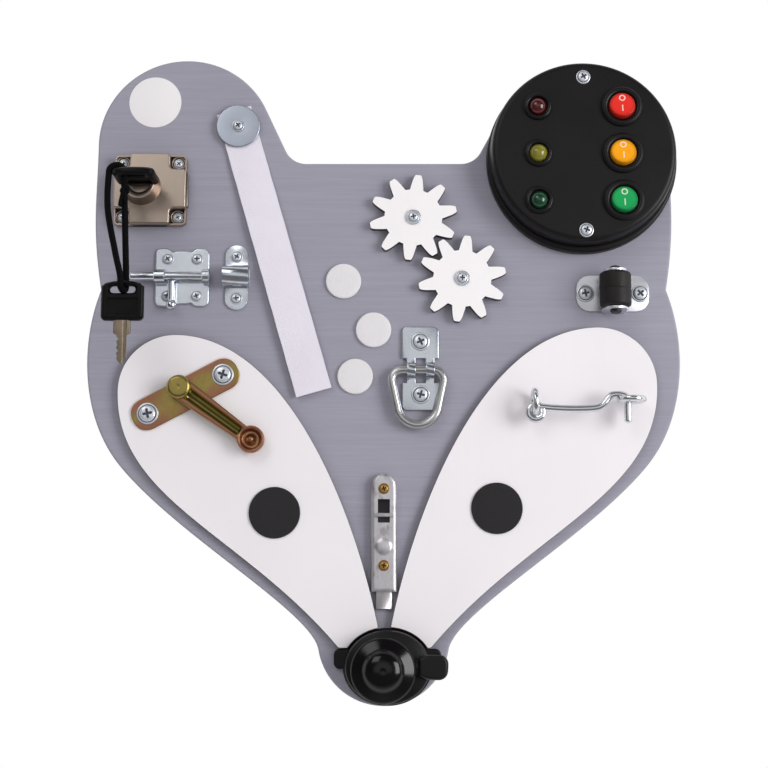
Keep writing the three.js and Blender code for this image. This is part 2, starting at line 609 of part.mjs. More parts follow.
// The keeper: a strip with round tabs and a loop that takes the rod
function boltKeeper() {
  const { width, height, tab, loop, loopWall, screwY, head } = keeper;
  const strip = slab(rounded(tab * 2, height, tab - gap), 0, sheet, quarter * 2);
  const outer = loop + loopWall;
  const base = block(width, outer * 2, 0, sheet);
  const arch = join(bar(outer, -width / 2, width / 2, bolt.axis), block(width, outer * 2, 0, bolt.axis));
  const mouth = join(bar(loop, -width, width, bolt.axis), block(width * 2, loop * 2, sheet, bolt.axis));
  const floor = block(width * 2, outer * 2 + overrun, -overrun - outer, 0);
  const shell = cut(arch, mouth, floor);
  return join(strip, base, shell, screw(head, bolt.rise, sheet, 0, screwY),
      screw(head, bolt.rise, sheet, 0, -screwY));
}

function addBolt() {
  const at = spot(bolt.spotShares);
  const keep = [at[0] + bolt.width / 2 + keeper.away - keeper.width / 2 - gap, at[1]];
  piece('barrel_bolt_plate', boltPlate(), zinc, at);
  piece('barrel_bolt_rod', boltRod(), zinc, at);
  piece('barrel_bolt_handle', boltHandle(), zinc, at);
  piece('barrel_bolt_keeper', boltKeeper(), zinc, keep);
  const depth = woodScrew.length - sheet;
  for (const [sx, sy] of [[1, 1], [-1, 1], [-1, -1], [1, -1]]) {
    boardHoles.push([at[0] + sx * bolt.screwX, at[1] + sy * bolt.screwY, depth]);
  }
  boardHoles.push([keep[0], keep[1] + keeper.screwY, depth], [keep[0], keep[1] - keeper.screwY, depth]);
}

// Outline of a gear, one tooth at a time
function gearOutline() {
  const points = [];
  const tip = gear.tipShare * tall;
  const root = gear.rootShare * tip;
  const tipWide = gear.tipWideShare * tip;
  const rootWide = gear.rootWideShare * tip;
  const shoulder = tip - gear.chamferShare * tip;
  const swell = (root + shoulder) / 2;
  for (let i = 0; i < gear.teeth; i += 1) {
    const middle = (i / gear.teeth) * Math.PI * 2;
    const across = (radius, wide) => Math.asin(wide / 2 / radius);
    const neck = across(root, rootWide);
    const broad = across(shoulder, (tipWide + rootWide) / 2);
    const flat = across(tip, tipWide);
    const belly = across(swell, (tipWide + rootWide * 3) / 4);
    const corners = [[root, -neck], [swell, -belly], [shoulder, -broad], [tip, -flat],
      [tip, flat], [shoulder, broad], [swell, belly], [root, neck]];
    corners.forEach(([radius, off]) =>
      points.push(new THREE.Vector2(radius * Math.cos(middle + off), radius * Math.sin(middle + off))));
  }
  return new THREE.Shape(points);
}

// The gears turn on shouldered screws and mesh with each other
function addGears() {
  const upper = spot(gear.spotShares);
  const lower = place(upper, gear.bearing, gear.spacingShare * gear.tipShare * tall, 0);
  const pitchAngle = 360 / gear.teeth;
  const lowerPhase = 2 * gear.bearing + 180 - gear.phase + pitchAngle / 2;
  const wheel = cut(slab(gearOutline(), gear.lift, gear.lift + gear.thickness), drum(gear.bore, -overrun,
    gear.lift + gear.thickness + overrun, smallFacets));
  const seat = gear.lift + gear.thickness + gap;
  const stud = join(drum(gear.shoulder, 0, seat, smallFacets),
      drum(gear.flange, seat, seat + sheet / 2, plainFacets),
    screw(gear.head, gear.rise, seat + sheet / 2, 0, 0, woodScrew.length + seat));
  piece('gear_upper', wheel, whitePly, upper, gear.phase);
  piece('gear_lower', wheel, whitePly, lower, lowerPhase);
  piece('gear_upper_screw', stud, zinc, upper);
  piece('gear_lower_screw', stud, zinc, lower);
  boardHoles.push([...upper, woodScrew.length], [...lower, woodScrew.length]);
}

// Rows of the lamp box from top to bottom, and the places of its screws near the rim
const rows = [1, 0, -1].map((row) => row * box.pitch - box.rowDrop);
const screwRow = (side) => side * (box.radius - box.screwInset) - box.rowDrop;

// Housing of the lamp box: an open-backed cup with bezels round the lamps and pillars for its screws
function boxHousing() {
  const { radius, taper, height, bevel, wall } = box;
  const cup = turned([[0, 0], [radius, 0], [radius - taper, height - bevel],
      [radius - taper - bevel, height],
    [0, height]], fineFacets);
  const hollow = turned([[0, -overrun], [radius - wall, -overrun], [radius - wall, 0],
    [radius - taper - wall, height - wall], [0, height - wall]], fineFacets);
  const bezels = rows.map((y) => drum(box.bezel, height - wall / 2, height + box.bezelProud, plainFacets,
      box.lampX, y));
  const pillars = [1, -1].map((side) => drum(box.pillar, 0, height - wall / 2, smallFacets, 0,
      screwRow(side)));
  const top = height + box.bezelProud + overrun;
  const lampHoles = rows.map((y) => drum(box.lamp + gap, 0, top, plainFacets, box.lampX, y));
  const switchHoles = rows.map((y) => drum(box.switchBody + gap, 0, top, plainFacets, box.switchX, y));
  const screwHoles = [1, -1].map((side) => pilot(0, screwRow(side), overrun, height));
  return cut(join(cut(cup, hollow), ...bezels, ...pillars), ...lampHoles, ...switchHoles, ...screwHoles);
}

// A lamp: a domed lens on a plain body that reaches back into the box
function lampBody() {
  const { lamp, height, lampProud, lampDepth } = box;
  const start = height + lampProud - lamp;
  const dome = [];
  for (let i = 0; i <= 4; i += 1) {
    const angle = (i / 4) * Math.PI / 2;
    dome.push([lamp * Math.cos(angle), start + lamp * Math.sin(angle)]);
  }
  dome[4][0] = 0;
  return turned([[0, height - lampDepth], [lamp, height - lampDepth], ...dome], plainFacets);
}

// A round switch: flange and barrel with a pocket for its button
function switchBody() {
  const { height, switchFlange, switchProud, switchDepth, switchWall, switchRim, switchFloor } = box;
  const barrel = box.switchBody;
  const foot = height - switchDepth;
  const seat = height + gap;
  const face = seat + switchProud;
  const pocket = barrel - switchWall;
  const profile = [[0, foot], [barrel, foot], [barrel, seat], [switchFlange, seat],
      [switchFlange, face - switchRim],
    [switchFlange - switchRim, face], [pocket, face - switchRim / 2], [pocket, foot + switchFloor],
    [0, foot + switchFloor]];
  return turned(profile, plainFacets);
}

// A button that rocks about x: round from the front, its upper half pressed in
function switchButton() {
  const { button, buttonProud, buttonBelow, buttonTilt, height, switchProud } = box;
  const level = height + switchProud;
  const disc = turned([[0, -buttonBelow], [button - box.pivot, -buttonBelow], [button, 0],
    [button, buttonProud], [button - gap, buttonProud + gap], [0, buttonProud]], plainFacets);
  return disc.rotate([-buttonTilt, 0, 0]).translate([0, 0, level]);
}

// Battery holder: an open tray with two cells side by side
function batteryTray() {
  const { width, length, height, wall } = battery;
  const tray = block(width, length, 0, height);
  const room = block(width - wall * 2, length - wall * 2, wall, height + overrun);
  return cut(tray, room);
}

function batteryCell() {
  const { cell, cellLength, wall } = battery;
  const nub = cell / 2;
  const can = turned([[0, -cellLength / 2], [cell, -cellLength / 2], [cell, cellLength / 2 - wall],
    [nub, cellLength / 2 - wall], [nub, cellLength / 2], [0, cellLength / 2]], smallFacets);
  return can.rotate([-90, 0, 0]).translate([0, 0, wall + gap + cell]);
}

function addBox() {
  const at = spot(box.spotShares);
  const from = (x, y) => [at[0] + x, at[1] + y];
  const lenses = [['red', redLens, redPlastic], ['amber', amberLens, amberPlastic],
      ['green', greenLens, greenPlastic]];
  piece('light_box', boxHousing(), blackPlastic, at);
  lenses.forEach(([name, lens, button], row) => {
    piece(`lamp_${name}`, lampBody(), lens, from(box.lampX, rows[row]));
    piece(`switch_body_${name}`, switchBody(), blackPlastic, from(box.switchX, rows[row]));
    piece(`switch_button_${name}`, switchButton(), button, from(box.switchX, rows[row]));
  });
  [['top', 1], ['bottom', -1]].forEach(([name, side]) => {
    const where = from(0, screwRow(side));
    const body = screw(box.screwHead, box.screwRise, box.height + gap, 0, 0, box.height + box.screwAnchor);
    piece(`light_box_screw_${name}`, body, zinc, where);
    boardHoles.push([...where, box.screwAnchor]);
  });
  piece('battery_holder', batteryTray(), blackPlastic, from(battery.offX, 0));
  [['left', -1], ['right', 1]].forEach(([name, side]) => {
    const where = from(battery.offX + side * (battery.cell + gap / 2), 0);
    piece(`battery_cell_${name}`, batteryCell(), cellWrap, where);
  });
}

// Roller: a bracket with two ears, a wheel between them and a riveted axle
function addRoller() {
  const at = spot(roller.spotShares);
  const { wheel, wheelLength, axis, ear, earThick, axle, rivet, rivetRise } = roller;
  const inside = wheelLength / 2 + gap;
  const outside = inside + earThick;
  const lying = (body) => body.rotate([-90, 0, 0]).translate([0, 0, axis]);
  const ears = [[-outside, -inside], [inside, outside]].map(([from, to]) =>
    join(lying(drum(ear, from, to)), block(ear * 2, to - from, 0, axis, 0, (from + to) / 2)));
  const screws = [-1, 1].map((side) => screw(roller.head, roller.rise, sheet, side * roller.screwX, 0));
  const plate = slab(rounded(roller.width, roller.height, roller.corner), 0, sheet);
  const neck = block(ear * 2, outside * 2, 0, sheet);
  const bore = lying(drum(axle + gap, -outside - overrun, outside + overrun, smallFacets));
  const bracket = cut(join(plate, neck, ...ears), bore);
  piece('roller_bracket', join(bracket, ...screws), zinc, at);
  const groove = [[0, -wheelLength / 2], [wheel - gap, -wheelLength / 2], [wheel, -wheelLength / 2 + gap],
    [wheel, -gap], [wheel - gap, 0], [wheel, gap], [wheel, wheelLength / 2 - gap],
    [wheel - gap, wheelLength / 2], [0, wheelLength / 2]];
  const hole = drum(axle + gap, -wheelLength, wheelLength, smallFacets);
  piece('roller_wheel', lying(cut(turned(groove, fineFacets), hole)), blackRubber, at);
  const end = outside + gap;
  const pin = turned([[0, -end - rivetRise], [rivet / 2, -end - rivetRise], [rivet, -end], [axle, -end],
      [axle, end],
    [rivet, end], [rivet / 2, end + rivetRise], [0, end + rivetRise]], smallFacets);
  piece('roller_axle', lying(pin), zinc, at);
  const depth = woodScrew.length - sheet;
  [-1, 1].forEach((side) => boardHoles.push([at[0] + side * roller.screwX, at[1], depth]));
}

// Lashing plate: two pads joined by two bridges over the bar of the ring
const ringHeight = lash.thickness + gap + lash.bar;
function lashPlate() {
  const { width, thickness, corner, upper, lower, window, bridge, bridgeApart, bridgeWall } = lash;
  const middle = (upper - lower) / 2;
  const pad = slab(rounded(width, upper + lower, corner, 0, middle), 0, thickness);
  const gapBand = block(width + overrun, window * 2, -overrun, thickness + overrun);
  const axis = ringHeight;
  const inner = lash.bar + gap;
  const outer = inner + bridgeWall;
  const bridges = [-1, 1].map((side) => {
    const from = (side * bridgeApart) / 2 - bridge / 2;
    const arch = join(bar(outer, from, from + bridge, axis),
        block(bridge, outer * 2, 0, axis, from + bridge / 2));
    const feet = block(bridge, window * 2 + corner, 0, thickness, from + bridge / 2);
    return join(arch, feet);
  });
  const tunnel = join(bar(inner, -width, width, axis), block(width * 2, inner * 2, -overrun, axis));
  const floor = block(width * 2, window * 2 + overrun, -overrun * 2, 0);
  const screws = [lash.screwUp, -lash.screwDown].map((y) => screw(lash.head, lash.rise, thickness, 0, y));
  return join(cut(join(cut(pad, gapBand), ...bridges), tunnel, floor), ...screws);
}

// The ring: a straight bar at the top, round corners, sides drawn in and a round foot
function ringPath() {
  const { ringWide, ringLong, ringRound, ringFoot } = lash;
  const shoulder = ringWide / 2 - ringRound;
  const foot = -ringLong + ringFoot;
  const slope = Math.atan2(foot + ringRound, -shoulder);
  const span = Math.hypot(foot + ringRound, shoulder);
  const lean = slope + Math.acos((ringRound - ringFoot) / span);
  const path = new THREE.Path();
  path.moveTo(-shoulder, 0);
  path.lineTo(shoulder, 0);
  path.absarc(shoulder, -ringRound, ringRound, Math.PI / 2, lean, true);
  path.absarc(0, foot, ringFoot, lean, -Math.PI - lean, true);
  path.absarc(-shoulder, -ringRound, ringRound, Math.PI - lean, Math.PI / 2, true);
  return path;
}

// A closed wire round that path
function ringBody() {
  const path = ringPath();
  const sweep = (u, v, target) => {
    const here = path.getPointAt(u % 1);
    const ahead = path.getTangentAt(u % 1);
    const angle = v * Math.PI * 2;
    const aside = lash.bar * Math.cos(angle);
    target.set(here.x + ahead.y * aside, here.y - ahead.x * aside, lash.bar * Math.sin(angle));
  };
  return solid(new ParametricGeometry(sweep, fineFacets, wireSides));
}

function addRing() {
  const at = spot(lash.spotShares);
  piece('ring_plate', lashPlate(), zinc, at);
  const ring = ringBody().translate([lash.ringX, 0, ringHeight]);
  piece('pull_ring', ring, zinc, at);
  const depth = woodScrew.length - lash.thickness;
  [lash.screwUp, -lash.screwDown].forEach((y) => boardHoles.push([at[0], at[1] + y, depth]));
}

// Window latch: base plate on the left cheek, lever with a trough and a cup, and its headed pin
function addLatch() {
  const pinAt = spot(latch.spotShares);
  const base = cheek.thickness;
  const plateTop = base + sheet;
  const centre = place(pinAt, latch.lean, latch.pinAlong, -latch.pinAside);
  const screwHalf = latch.screwApart / 2;
  const plateShape = rounded(latch.length, latch.width, latch.width / 2 - gap / 2);
  const screws = [-1, 1].map((side) => screw(latch.head, latch.rise, plateTop, side * screwHalf, 0,
    woodScrew.length + base));
  const pinHole = drum(latch.pin + gap, -overrun, plateTop + overrun, smallFacets, -latch.pinAlong,
      latch.pinAside);
  const plate = join(cut(slab(plateShape, base, plateTop, quarter * 2), pinHole), ...screws);
  piece('latch_plate', plate, yellowZinc, centre, latch.lean);
  const under = plateTop + latch.rise + gap;
  const over = under + latch.leverThick;
  piece('latch_lever', latchLever(under, over), yellowZinc, pinAt, latch.leverLean);
  const head = over + gap;
  const pin = turned([[0, base + gap], [latch.pin, base + gap], [latch.pin, head], [latch.pinHead, head],
    [latch.pinHead, head + latch.pinHeadHeight * 2 / 3], [latch.pinHead * 5 / 6, head + latch.pinHeadHeight],
    [0, head + latch.pinHeadHeight]], plainFacets);
  piece('latch_pin', pin, yellowZinc, pinAt);
  [-1, 1].forEach((side) => {
    const where = place(centre, latch.lean, side * screwHalf, 0);
    boardHoles.push([...where, woodScrew.length - sheet]);
    cheekHoles.left.push(where);
  });
}

function latchLever(under, over) {
  const { lever, leverHub, leverNeck, trough, cup, cupDepth, cupWall, cone } = latch;
  const shape = new THREE.Shape();
  shape.moveTo(0, leverHub);
  shape.absarc(0, 0, leverHub, Math.PI / 2, Math.PI * 1.5);
  shape.lineTo(lever, -leverNeck);
  shape.lineTo(lever, leverNeck);
  const arm = slab(shape, under, over, quarter * 2);
  const end = drum(cup, under, over, plainFacets, lever, 0);
  const valley = new THREE.Shape();
  const from = leverHub + gap * 2;
  const to = lever - cup;
  valley.moveTo(from, trough);
  valley.absarc(from, 0, trough, Math.PI / 2, Math.PI * 1.5);
  valley.lineTo(to, -leverNeck / 2);
  valley.lineTo(to, leverNeck / 2);
  const groove = slab(valley, over - cupDepth, over + overrun, quarter * 2);
  const bowl = turned([[0, over - cupDepth], [cup - cupWall * 2, over - cupDepth],
      [cup - cupWall, over + gap],
    [0, over + gap]], plainFacets, lever, 0);
  const spike = turned([[0, over - cupDepth - gap], [cone, over - cupDepth - gap], [cone / 2, over - gap],
    [0, over - gap]], smallFacets, lever, 0);
  const hole = drum(latch.pin + gap, under - overrun, over + overrun, smallFacets);
  return cut(join(cut(join(arm, end), groove, bowl), spike), hole);
}

// Slide bolt: a rolled cover with a window, and the bar with its thumb tab
function slideCover() {
  const { height, wall } = slide;
  const w = (slide.widthShare * half) / 2;
  const h = (slide.lengthShare * tall) / 2;
  const barWide = slide.barShare * slide.widthShare * half;
  const shape = new THREE.Shape();
  shape.moveTo(w, -h);
  shape.lineTo(w, h - w);
  shape.absarc(0, h - w, w, 0, Math.PI);
  shape.lineTo(-w, -h);
  const skin = slab(shape, 0, height - wall, curveFacets);
  const brow = slab(shape, 0, wall, curveFacets).scale([(w - wall) / w, (h - wall / 2) / h, 1])
    .translate([0, -wall / 2, height - wall]);
  const top = h - slide.screwTop - slide.head - gap;
  const channel = block(barWide + gap * 2, top + h + overrun, -overrun, height - wall, 0,
      (top - h - overrun) / 2);
  const windowY = h - slide.slotTop - slide.slotLong / 2;
  const window = block(slide.slotWide, slide.slotLong, 0, height + overrun, 0, windowY);
  const dimple = turned([[0, height - wall / 2], [slide.dimple, height - wall / 2],
    [slide.dimple / 2, height + slide.dimpleRise], [0, height + slide.dimpleRise]], plainFacets, 0,
    h - slide.dimpleDrop);
  const screws = [slide.screwTop, slide.screwLow].map((drop) =>
    screw(slide.head, slide.rise, height, 0, h - drop, woodScrew.length + height / 2));
  return join(cut(join(skin, brow, dimple), channel, window), ...screws);
}

function slideBar() {
  const { barThick, tip } = slide;
  const barWide = slide.barShare * slide.widthShare * half;
  const h = (slide.lengthShare * tall) / 2;
  const from = gap;
  const top = h - slide.tabDrop + slide.tabTall;
  const low = -h - tip;
  const strip = block(barWide, top - low, from, from + barThick, 0, (top + low) / 2);
  const clear = woodScrew.shank + gap;
  const slotTop = h - slide.screwLow + slide.travelDown + clear;
  const slotLow = h - slide.screwLow - slide.travelUp - clear;
  const slot = block(clear * 2, slotTop - slotLow, -overrun, overrun * 2, 0, (slotTop + slotLow) / 2);
  const stem = block(slide.stemWide, slide.tabTall, from, slide.height + slide.tabProud, 0,
      h - slide.tabDrop);
  const tabTop = slide.height + slide.tabProud;
  const tab = block(slide.tabWide, slide.tabTall, tabTop - slide.tabThick, tabTop, 0, h - slide.tabDrop);
  return join(cut(strip, slot), stem, tab);
}

function addSlide() {
  const at = spot(slide.spotShares);
  piece('slide_bolt_cover', slideCover(), zinc, at);
  piece('slide_bolt_bar', slideBar(), zinc, at);
  const depth = woodScrew.length - slide.height / 2;
  [slide.screwTop, slide.screwLow].forEach((drop) =>
    boardHoles.push([at[0], at[1] + (slide.lengthShare * tall) / 2 - drop, depth]));
}

// Screw eye standing out of the cheek; its ring lies across the board or along it
function screwEye(across) {
  const ring = hoop(hook.ring, hook.wire).rotate(across ? [90, 0, 0] : [0, 90, 0]).translate([0, 0,
      hook.stand]);
  const stem = turned([[0, -woodScrew.length], [hook.wire, -woodScrew.length + woodScrew.point],
    [hook.wire, hook.stand - hook.ring], [0, hook.stand - hook.ring]], wireSides);
  return join(ring, stem).translate([0, 0, cheek.thickness]);
}

// The cabin hook: a closed loop round the wire of its eye, a straight shaft, a hump and the pin
function hookBody() {
  const { loop, reach, ramp, rampDrop, humpFrom, humpAt, humpRise, tipDrop, shaftDrop } = hook;
  const v = (x, y) => new THREE.Vector3(x, y, 0);
  const low = hook.ring - shaftDrop;
  const path = new THREE.CurvePath();
  const start = v(loop * Math.cos(turn(60)), loop * Math.sin(turn(60)));
  path.add(new THREE.LineCurve3(start, v(ramp, low - rampDrop)));
  path.add(new THREE.QuadraticBezierCurve3(v(ramp, low - rampDrop), v(ramp + rampDrop, shaftDrop),
      v(ramp + rampDrop * 2, shaftDrop)));
  path.add(new THREE.LineCurve3(v(ramp + rampDrop * 2, shaftDrop), v(humpFrom, shaftDrop)));
  path.add(new THREE.CubicBezierCurve3(v(humpFrom, shaftDrop), v(humpAt - loop / 2, shaftDrop),
      v(humpAt - loop, humpRise), v(humpAt + loop / 2, humpRise)));
  path.add(new THREE.QuadraticBezierCurve3(v(humpAt + loop / 2, humpRise), v(reach, humpRise),
      v(reach, humpRise - loop)));
  path.add(new THREE.LineCurve3(v(reach, humpRise - loop), v(reach, -tipDrop)));
  return join(hoop(loop, hook.rod, smallFacets), wire(path, hook.rod, hook.bends));
}

function addHook() {
  const at = spot(hook.spotShares);
  const caught = [at[0] + hook.catchX, at[1] + hook.catchUp];
  piece('hook_eye', screwEye(false), zinc, at);
  piece('catch_eye', screwEye(true), zinc, caught);
  const body = hookBody().translate([0, -hook.ring, cheek.thickness + hook.stand]);
  piece('cabin_hook', body, zinc, at);
  [at, caught].forEach((where) => {
    boardHoles.push([...where, woodScrew.length - cheek.thickness]);
    cheekHoles.right.push(where);
  });
}

// Bell: an oval foot with a post, a stepped dome over it, and a thumb lever on a pivot
function ovalFrustum(x1, y1, x2, y2, from, to) {
  const unit = turned([[0, from], [1, from], [x2 / x1, to], [0, to]], fineFacets);
  return unit.scale([x1, y1 * ((y2 / x2) * (x1 / y1) + 1) / 2, 1]);
}

function bellBase() {
  const foot = drum(1, 0, bell.footThick, fineFacets).scale([bell.footX, bell.footY, 1]);
  const body = ovalFrustum(bell.footX - sheet, bell.footY - sheet, bell.bodyX, bell.bodyY,
      bell.footThick - gap, bell.bodyTop);
  const lugs = slab(rounded(bell.lugReach * 2, bell.lugWide, bell.lugWide / 3, 0, bell.lugY), 0,
      bell.footThick);
  const postTop = bell.domeFoot + bell.domeRim + bell.stepRise;
  const post = drum(bell.post, bell.bodyTop - gap, postTop, smallFacets, bell.domeX, bell.domeY);
  const pin = drum(bell.pivot, bell.bodyTop - gap, bell.bodyTop + bell.leverThick + gap * 2, smallFacets,
      bell.pivotX, bell.padDrop);
  return join(foot, body, lugs, post, pin);
}

// The dome is a thin shell, open towards the board
function bellDome() {
  const { dome, domeFoot, domeRim, step, stepRise, crown, wall } = bell;
  const rim = domeFoot + domeRim;
  const shoulder = rim + stepRise / 2;
  const top = rim + stepRise;
  const outer = [];
  const inner = [];
  for (let i = 1; i <= 5; i += 1) {
    const angle = (i / 5) * Math.PI / 2;
    outer.push([crown * Math.cos(angle), shoulder + (top + stepRise / 2 - shoulder) * Math.sin(angle)]);
    inner.push([(crown - wall) * Math.cos(angle),
        shoulder - wall + (top + stepRise / 2 - shoulder) * Math.sin(angle)]);
  }
  outer[4][0] = 0;
  inner[4][0] = 0;
  const skin = [[dome, domeFoot], [dome, rim - wall / 2], [dome - wall, rim], [step, shoulder],
      [crown, shoulder], ...outer];
  const lining = [...inner].reverse();
  const profile = [...lining, [crown - wall, shoulder - wall], [step, shoulder - wall * 3 / 2],
      [dome - wall * 2, rim - wall],
    [dome - wall, domeFoot], ...skin];
  return turned(profile, fineFacets);
}

function bellLever() {
  const low = bell.bodyTop + gap;
  const high = low + bell.leverThick;
  const armShape = new THREE.Shape();
  armShape.moveTo(0, bell.leverHub);
  armShape.absarc(0, 0, bell.leverHub, Math.PI / 2, Math.PI * 1.5);
  armShape.lineTo(bell.padIn - bell.pivotX, -bell.padNeck);
  armShape.lineTo(bell.padIn - bell.pivotX, bell.padNeck);
  const arm = slab(armShape, low, high, quarter * 2);
  const padShape = rounded(bell.padOut - bell.padIn, bell.padWide, bell.leverHub,
      (bell.padOut + bell.padIn) / 2 - bell.pivotX, 0);
  const pad = slab(padShape, low, bell.padTop);
  const hole = drum(bell.pivot + gap, low - overrun, high + overrun, smallFacets);
  return cut(join(arm, pad), hole);
}

function addBell() {
  const at = spot(bell.spotShares);
  piece('bell_base', bellBase(), blackPlastic, at);
  piece('bell_dome', bellDome(), blackPlastic, [at[0] + bell.domeX, at[1] + bell.domeY]);
  piece('bell_lever', bellLever(), blackPlastic, [at[0] + bell.pivotX, at[1] + bell.padDrop]);
  const reach = overrun + cheek.thickness;
  const oval = drum(1, -overrun, reach, fineFacets).scale([bell.footX + gap, bell.footY + gap,
      1]).translate([...at, 0]);
  const lugRoom = slab(rounded(bell.lugReach * 2 + gap * 2, bell.lugWide + gap * 2, bell.lugWide / 3, at[0],
    at[1] + bell.lugY), -overrun, reach);
  return join(oval, lugRoom);
}

// Board, cheeks and eyes come last, because the other pieces say where their holes are
addStrap();
const lockParts = addLock();
addBolt();
addGears();
addBox();
addRoller();
addRing();
addLatch();
addSlide();
addHook();
const bellRoom = addBell();

const screwHoles = boardHoles.map(([x, y, depth]) => pilot(x, y, depth, 0));
piece('board', cut(slab(boardOutline(), -board.thickness, 0, curveFacets), lockParts.tipPocket,
    ...screwHoles), greyPaint);

const cheekBlank = slab(cheekOutline(), 0, cheek.thickness, smallFacets);
const leftHoles = cheekHoles.left.map(([x, y]) => pilot(x, y, 0, cheek.thickness));
const rightHoles = cheekHoles.right.map(([x, y]) => pilot(x, y, 0, cheek.thickness));
const grown = [cheek.rightShare, cheek.rightShare, 1];
const slipped = cheekBlank.mirror([1, 0, 0]).scale(grown).translate([cheek.slipX, cheek.slipY, 0]);
piece('cheek_left', cut(cheekBlank, bellRoom, ...leftHoles), whitePly);
piece('cheek_right', cut(slipped, bellRoom, ...rightHoles), whitePly);

const eyeDisc = drum(eye.radius, cheek.thickness, cheek.thickness + eye.thickness, fineFacets);
const eyeSpot = spot(eye.spotShares);
piece('eye_left', eyeDisc, blackFelt, eyeSpot);
piece('eye_right', eyeDisc, blackFelt, [-eyeSpot[0] + eye.slip, eyeSpot[1] + eye.slip]);

export default busyBoard;
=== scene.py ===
import math

import bmesh
import bpy
import numpy as np
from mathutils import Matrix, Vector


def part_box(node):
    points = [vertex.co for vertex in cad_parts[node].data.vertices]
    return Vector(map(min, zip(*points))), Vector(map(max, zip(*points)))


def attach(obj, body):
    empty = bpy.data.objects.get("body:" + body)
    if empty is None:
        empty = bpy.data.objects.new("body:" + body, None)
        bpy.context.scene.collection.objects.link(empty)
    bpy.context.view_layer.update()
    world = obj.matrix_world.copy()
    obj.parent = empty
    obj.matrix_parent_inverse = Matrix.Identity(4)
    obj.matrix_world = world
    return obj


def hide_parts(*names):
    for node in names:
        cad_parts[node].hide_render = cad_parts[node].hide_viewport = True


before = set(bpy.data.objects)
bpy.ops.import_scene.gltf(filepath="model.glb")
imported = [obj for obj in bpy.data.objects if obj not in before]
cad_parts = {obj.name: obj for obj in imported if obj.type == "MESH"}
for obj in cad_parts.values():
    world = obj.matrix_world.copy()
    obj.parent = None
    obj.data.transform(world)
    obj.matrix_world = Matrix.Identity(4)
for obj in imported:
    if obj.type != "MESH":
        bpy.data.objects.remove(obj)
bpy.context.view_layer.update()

# The camera stands straight in front of the board, a little below its middle, and looks up at it.
# Its distance and tilt follow from how much larger the chin looks than the ears.
camera = bpy.data.objects.new("camera", bpy.data.cameras.new("camera"))
camera.data.sensor_width = 36
camera.data.lens = 67.734
camera.location = (0.00028, -0.810, -0.1275)
camera.rotation_euler = (math.radians(98.6), 0, 0)
bpy.context.scene.collection.objects.link(camera)
bpy.context.scene.camera = camera
bpy.context.scene.view_settings.view_transform = "Standard"


# The room is a white studio with a pale floor well below the hung board, lit by two soft boxes.
# What the metal sees of it is a pale screen in front, dark curtains round the screen and white walls.
def plane_mesh(name, wide, window_shade):
    """A flat rectangle in its own x and y, centred on its origin."""
    mesh = bpy.data.meshes.new(name)
    x, y = wide / 2, window_shade / 2
    mesh.from_pydata([(-x, -y, 0), (x, -y, 0), (x, y, 0), (-x, y, 0)], [], [(0, 1, 2, 3)])
    return mesh


class Value:
    """A number or colour that changes over a surface. Sums and products of values add Math nodes."""

    def __init__(self, finish, socket):
        self.finish, self.socket = finish, socket

    def math(self, operation, *terms):
        return self.finish.node("ShaderNodeMath", {"operation": operation}, dict(enumerate(terms)))[0]

    def __add__(self, other):
        return self.math("ADD", self, other)

    __radd__ = __add__

    def __sub__(self, other):
        return self.math("SUBTRACT", self, other)

    def __rsub__(self, other):
        return self.math("SUBTRACT", other, self)

    def __mul__(self, other):
        return self.math("MULTIPLY", self, other)

    __rmul__ = __mul__

    def __truediv__(self, other):
        return self.math("DIVIDE", self, other)

    def __pow__(self, other):
        return self.math("POWER", self, other)

    def __abs__(self):
        return self.math("ABSOLUTE", self)

    def sine(self):
        return self.math("SINE", self)

    def larger(self, other):
        return self.math("MAXIMUM", self, other)

    def smaller(self, other):
        return self.math("MINIMUM", self, other)

    def step(self, low, high):
        """Smoothly from 0 at low to 1 at high, or the other way round if low is the larger."""
        settings = {"interpolation_type": "SMOOTHSTEP"}
        ends = (low, high, 0.0, 1.0) if low < high else (high, low, 1.0, 0.0)
        return self.finish.node("ShaderNodeMapRange", settings, {0: self, **dict(zip((1, 2, 3, 4), ends))})[0]


def tint(red, green, blue):
    """A colour given in screen levels of 0 to 255, as the shader wants it."""
    levels = np.array([red, green, blue]) / 255
    return (*np.where(levels <= 0.04045, levels / 12.92, ((levels + 0.055) / 1.055) ** 2.4).tolist(), 1.0)


